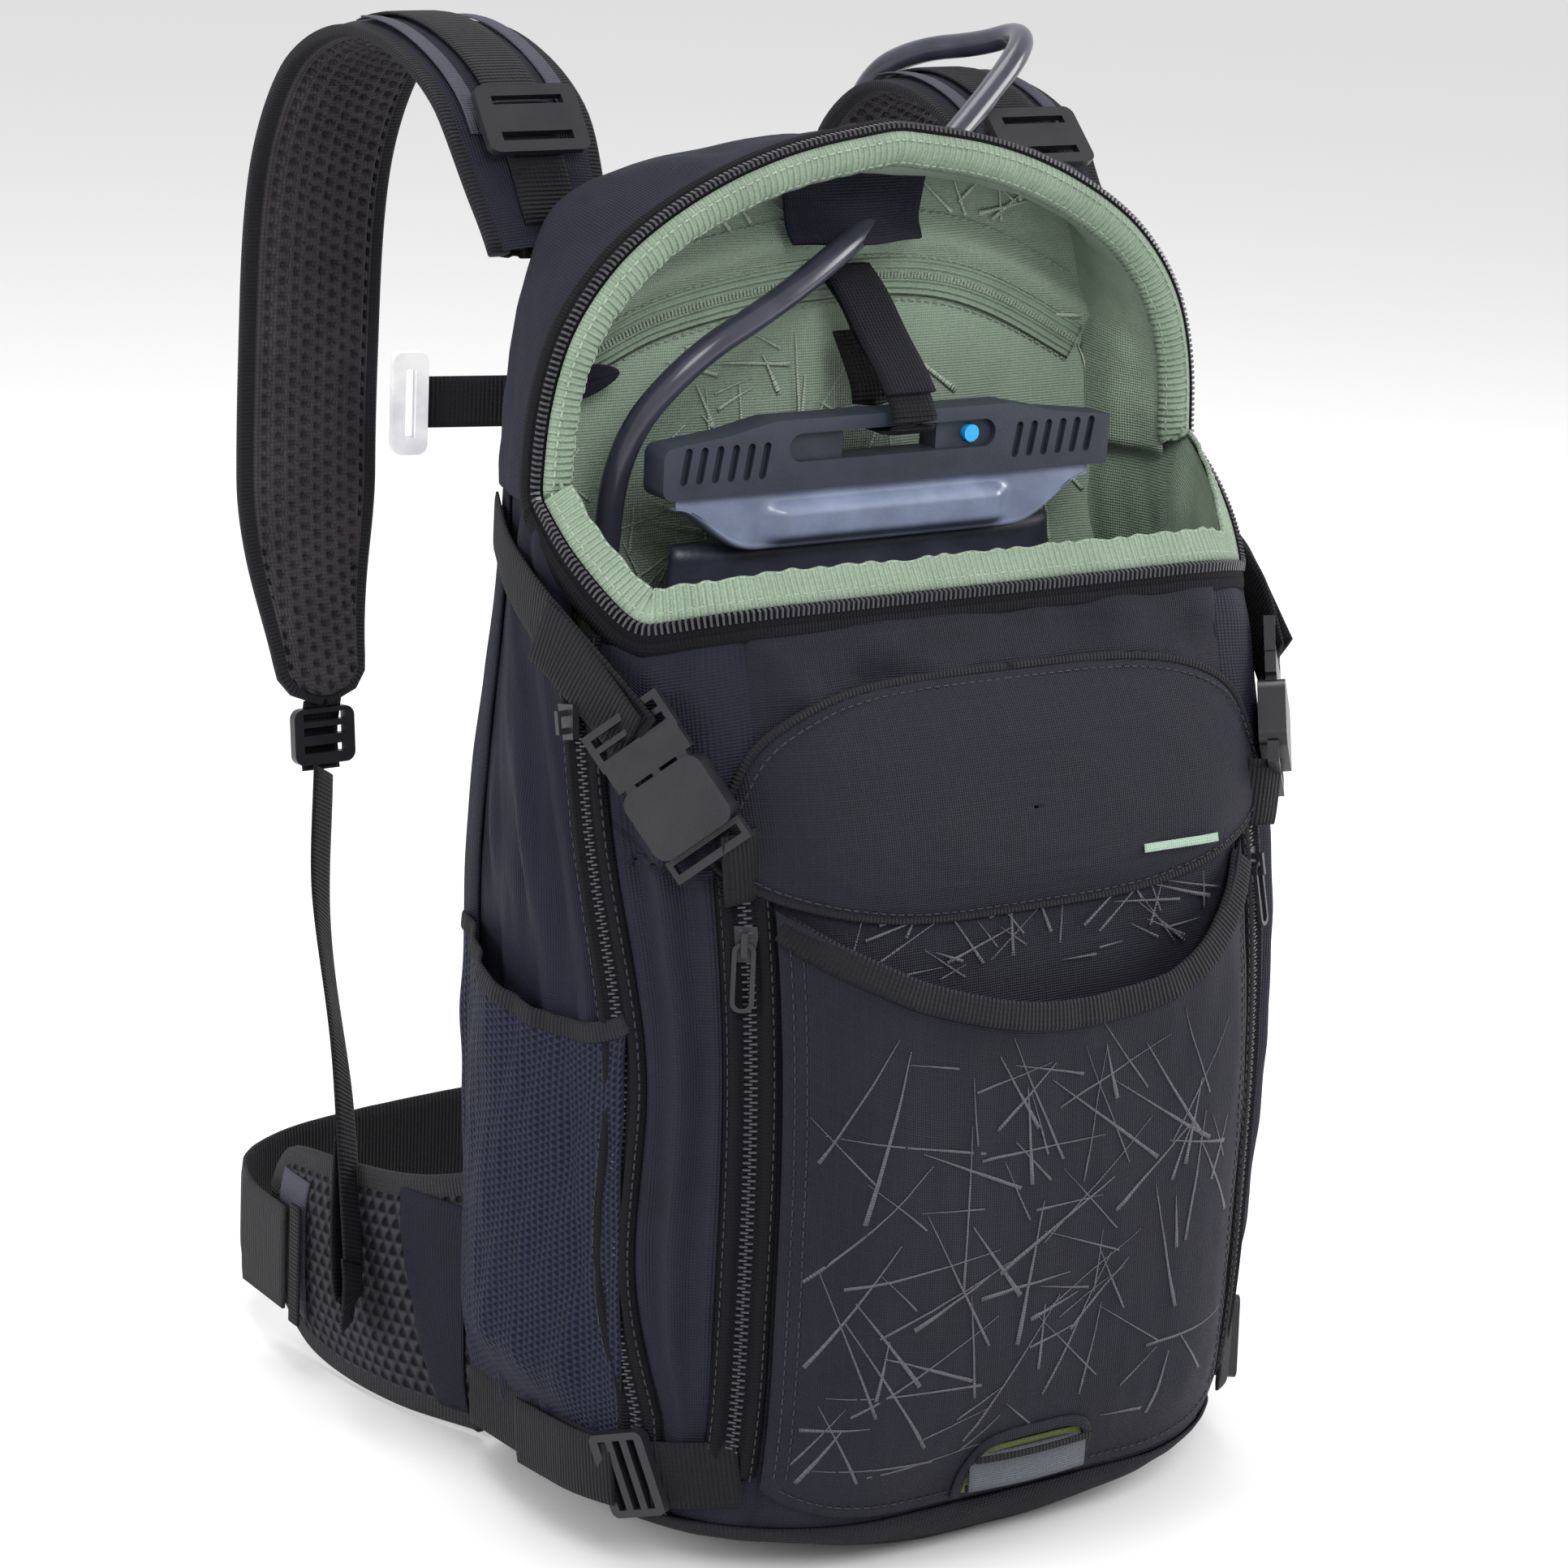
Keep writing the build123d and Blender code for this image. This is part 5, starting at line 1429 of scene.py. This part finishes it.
BELT = [(-149.5, 178), (-149.5, 212), (-136, 243), (-98, 262), (0, 270), (98, 262), (136, 243), (149.5, 212),
        (149.5, 178)]
belt_path = smooth_path([(x, y, 42) for x, y in BELT], 4.0)
belt_face = [Vector((p.x * 0.9, (p.y - 150) * 1.2, 0)).normalized() for p in belt_path]
band("hip_belt_web", [(belt_path, belt_face)], 39.0, 2.6, webbing_cloth, ripple=0.3, replaces=["hip_belt"],
     slot="webbing")
low, high = [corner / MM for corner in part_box("hip_belt_tab")]
tab_path = [Vector(((low.x + high.x) / 2, y, 42)) for y in np.linspace(low.y, high.y, 14)]
band("hip_tab_web", [(tab_path, Vector((-1, 0, 0)))], 42.0, 2.4, grey_tape, body="hip_tab",
     replaces=["hip_belt_tab"], slot="webbing")
loop_path = [Vector((-(through(WING_X, 184)[0] + 8.0) - 1.5, 172, z)) for z in np.linspace(18, 66, 20)]
band("hip_belt_keeper", [(loop_path, Vector((-1, 0, 0)))], 8.0, 1.6, webbing_cloth, slot="webbing")

HAUL_HALF = 30
haul = smooth_path([(x, 84 + 14 * math.sin(math.pi * (x + HAUL_HALF) / (2 * HAUL_HALF)), 466)
                    for x in np.linspace(-HAUL_HALF, HAUL_HALF, 9)], 2.0)
haul_path = [Vector((p.x, p.y, 468 - 3 * abs(p.x) / HAUL_HALF)) for p in haul]
band("haul_loop_web", [(haul_path, Vector((0, 1, 0)))], 20.0, 2.4, webbing_cloth, replaces=["haul_loop"],
     slot="webbing")

# ---------------------------------------------------------------- back pads
# middle x and z, half width, half height and thickness of each pad
PAD_BOXES = [(-60, 278, 42, 150, 11), (60, 278, 42, 150, 11), (0, 64, 98, 56, 15)]
pads_points, pads_faces, pads_uv = [], [], []
wide, high_count = 40, 70
for cx, cz, half_x, half_z, thick in PAD_BOXES:
    start = len(pads_points)
    for sign in (0.0, 1.0):
        for i in range(high_count + 1):
            for j in range(wide + 1):
                u, v = j / wide * 2 - 1, i / high_count * 2 - 1
                squeeze = 1 / max(1.0, (abs(u) ** 6 + abs(v) ** 6) ** (1 / 6) / max(abs(u), abs(v), 1e-6))
                crown = sign * thick * math.sqrt(max(0.0, 1 - max(abs(u), abs(v)) ** 6))
                groove = sign * 3.0 * math.exp(-((v * half_z % 30 - 15) / 3.0) ** 2) * (thick < 15)
                depth = BACK_Y + 0.4 + max(0.0, crown - groove * (crown > 4))
                pads_points.append((cx + u * squeeze * half_x, depth, cz + v * squeeze * half_z))
                pads_uv.append((u * half_x, v * half_z))
    size = (wide + 1) * (high_count + 1)
    for layer in (0, 1):
        for i in range(high_count):
            for j in range(wide):
                a = start + layer * size + i * (wide + 1) + j
                quad = (a, a + 1, a + wide + 2, a + wide + 1)
                pads_faces.append(quad if layer else quad[::-1])
back_pads = mesh_piece("back_pad_foam", pads_points, pads_faces, pad_net, uv=pads_uv, slot="pad_mesh")
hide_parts("back_pads")

line, outward = strap_lines[1]
loop_k = int(len(line) * 0.52)
ring_middle = line[loop_k] + outward[loop_k] * 10.5
ring = []
for k in range(25):
    turn = 2 * math.pi * k / 24
    ring.append(ring_middle + outward[loop_k] * 6.0 * math.sin(turn) + Vector((7.5 * math.cos(turn), 0, 0)))
ring_face = [(p - ring_middle).normalized() for p in ring]
band("hose_elastic_loop", [(ring, ring_face)], 8.0, 1.2, webbing_cloth, replaces=["hose_loop"], slot="webbing")

# ---------------------------------------------------------------- CAD pieces that stay
for name in ("upper_buckle_females", "upper_buckle_male_left", "upper_buckle_male_right", "lower_adjuster_left",
             "lower_adjuster_right", "strap_ladder_left", "strap_ladder_right", "brace_links",
             "sternum_buckle_female", "sternum_buckle_male", "hose_elbow", "bite_valve_body"):
    finish_node(name, black_plastic, 0.7)
finish_node("reservoir_slide_bar", bar_plastic, 0.5)
finish_node("slide_button", blue_plastic, 0.4)
finish_node("sternum_sliders", white_plastic, 0.8)
finish_node("bite_valve_sleeve", valve_rubber, 1.5)
finish_node("frame_sheet", black_plastic, 0.3)
for name in nodes:
    if "zip_slider" in name or "zip_pull" in name:
        finish_node(name, black_metal, 0.25)
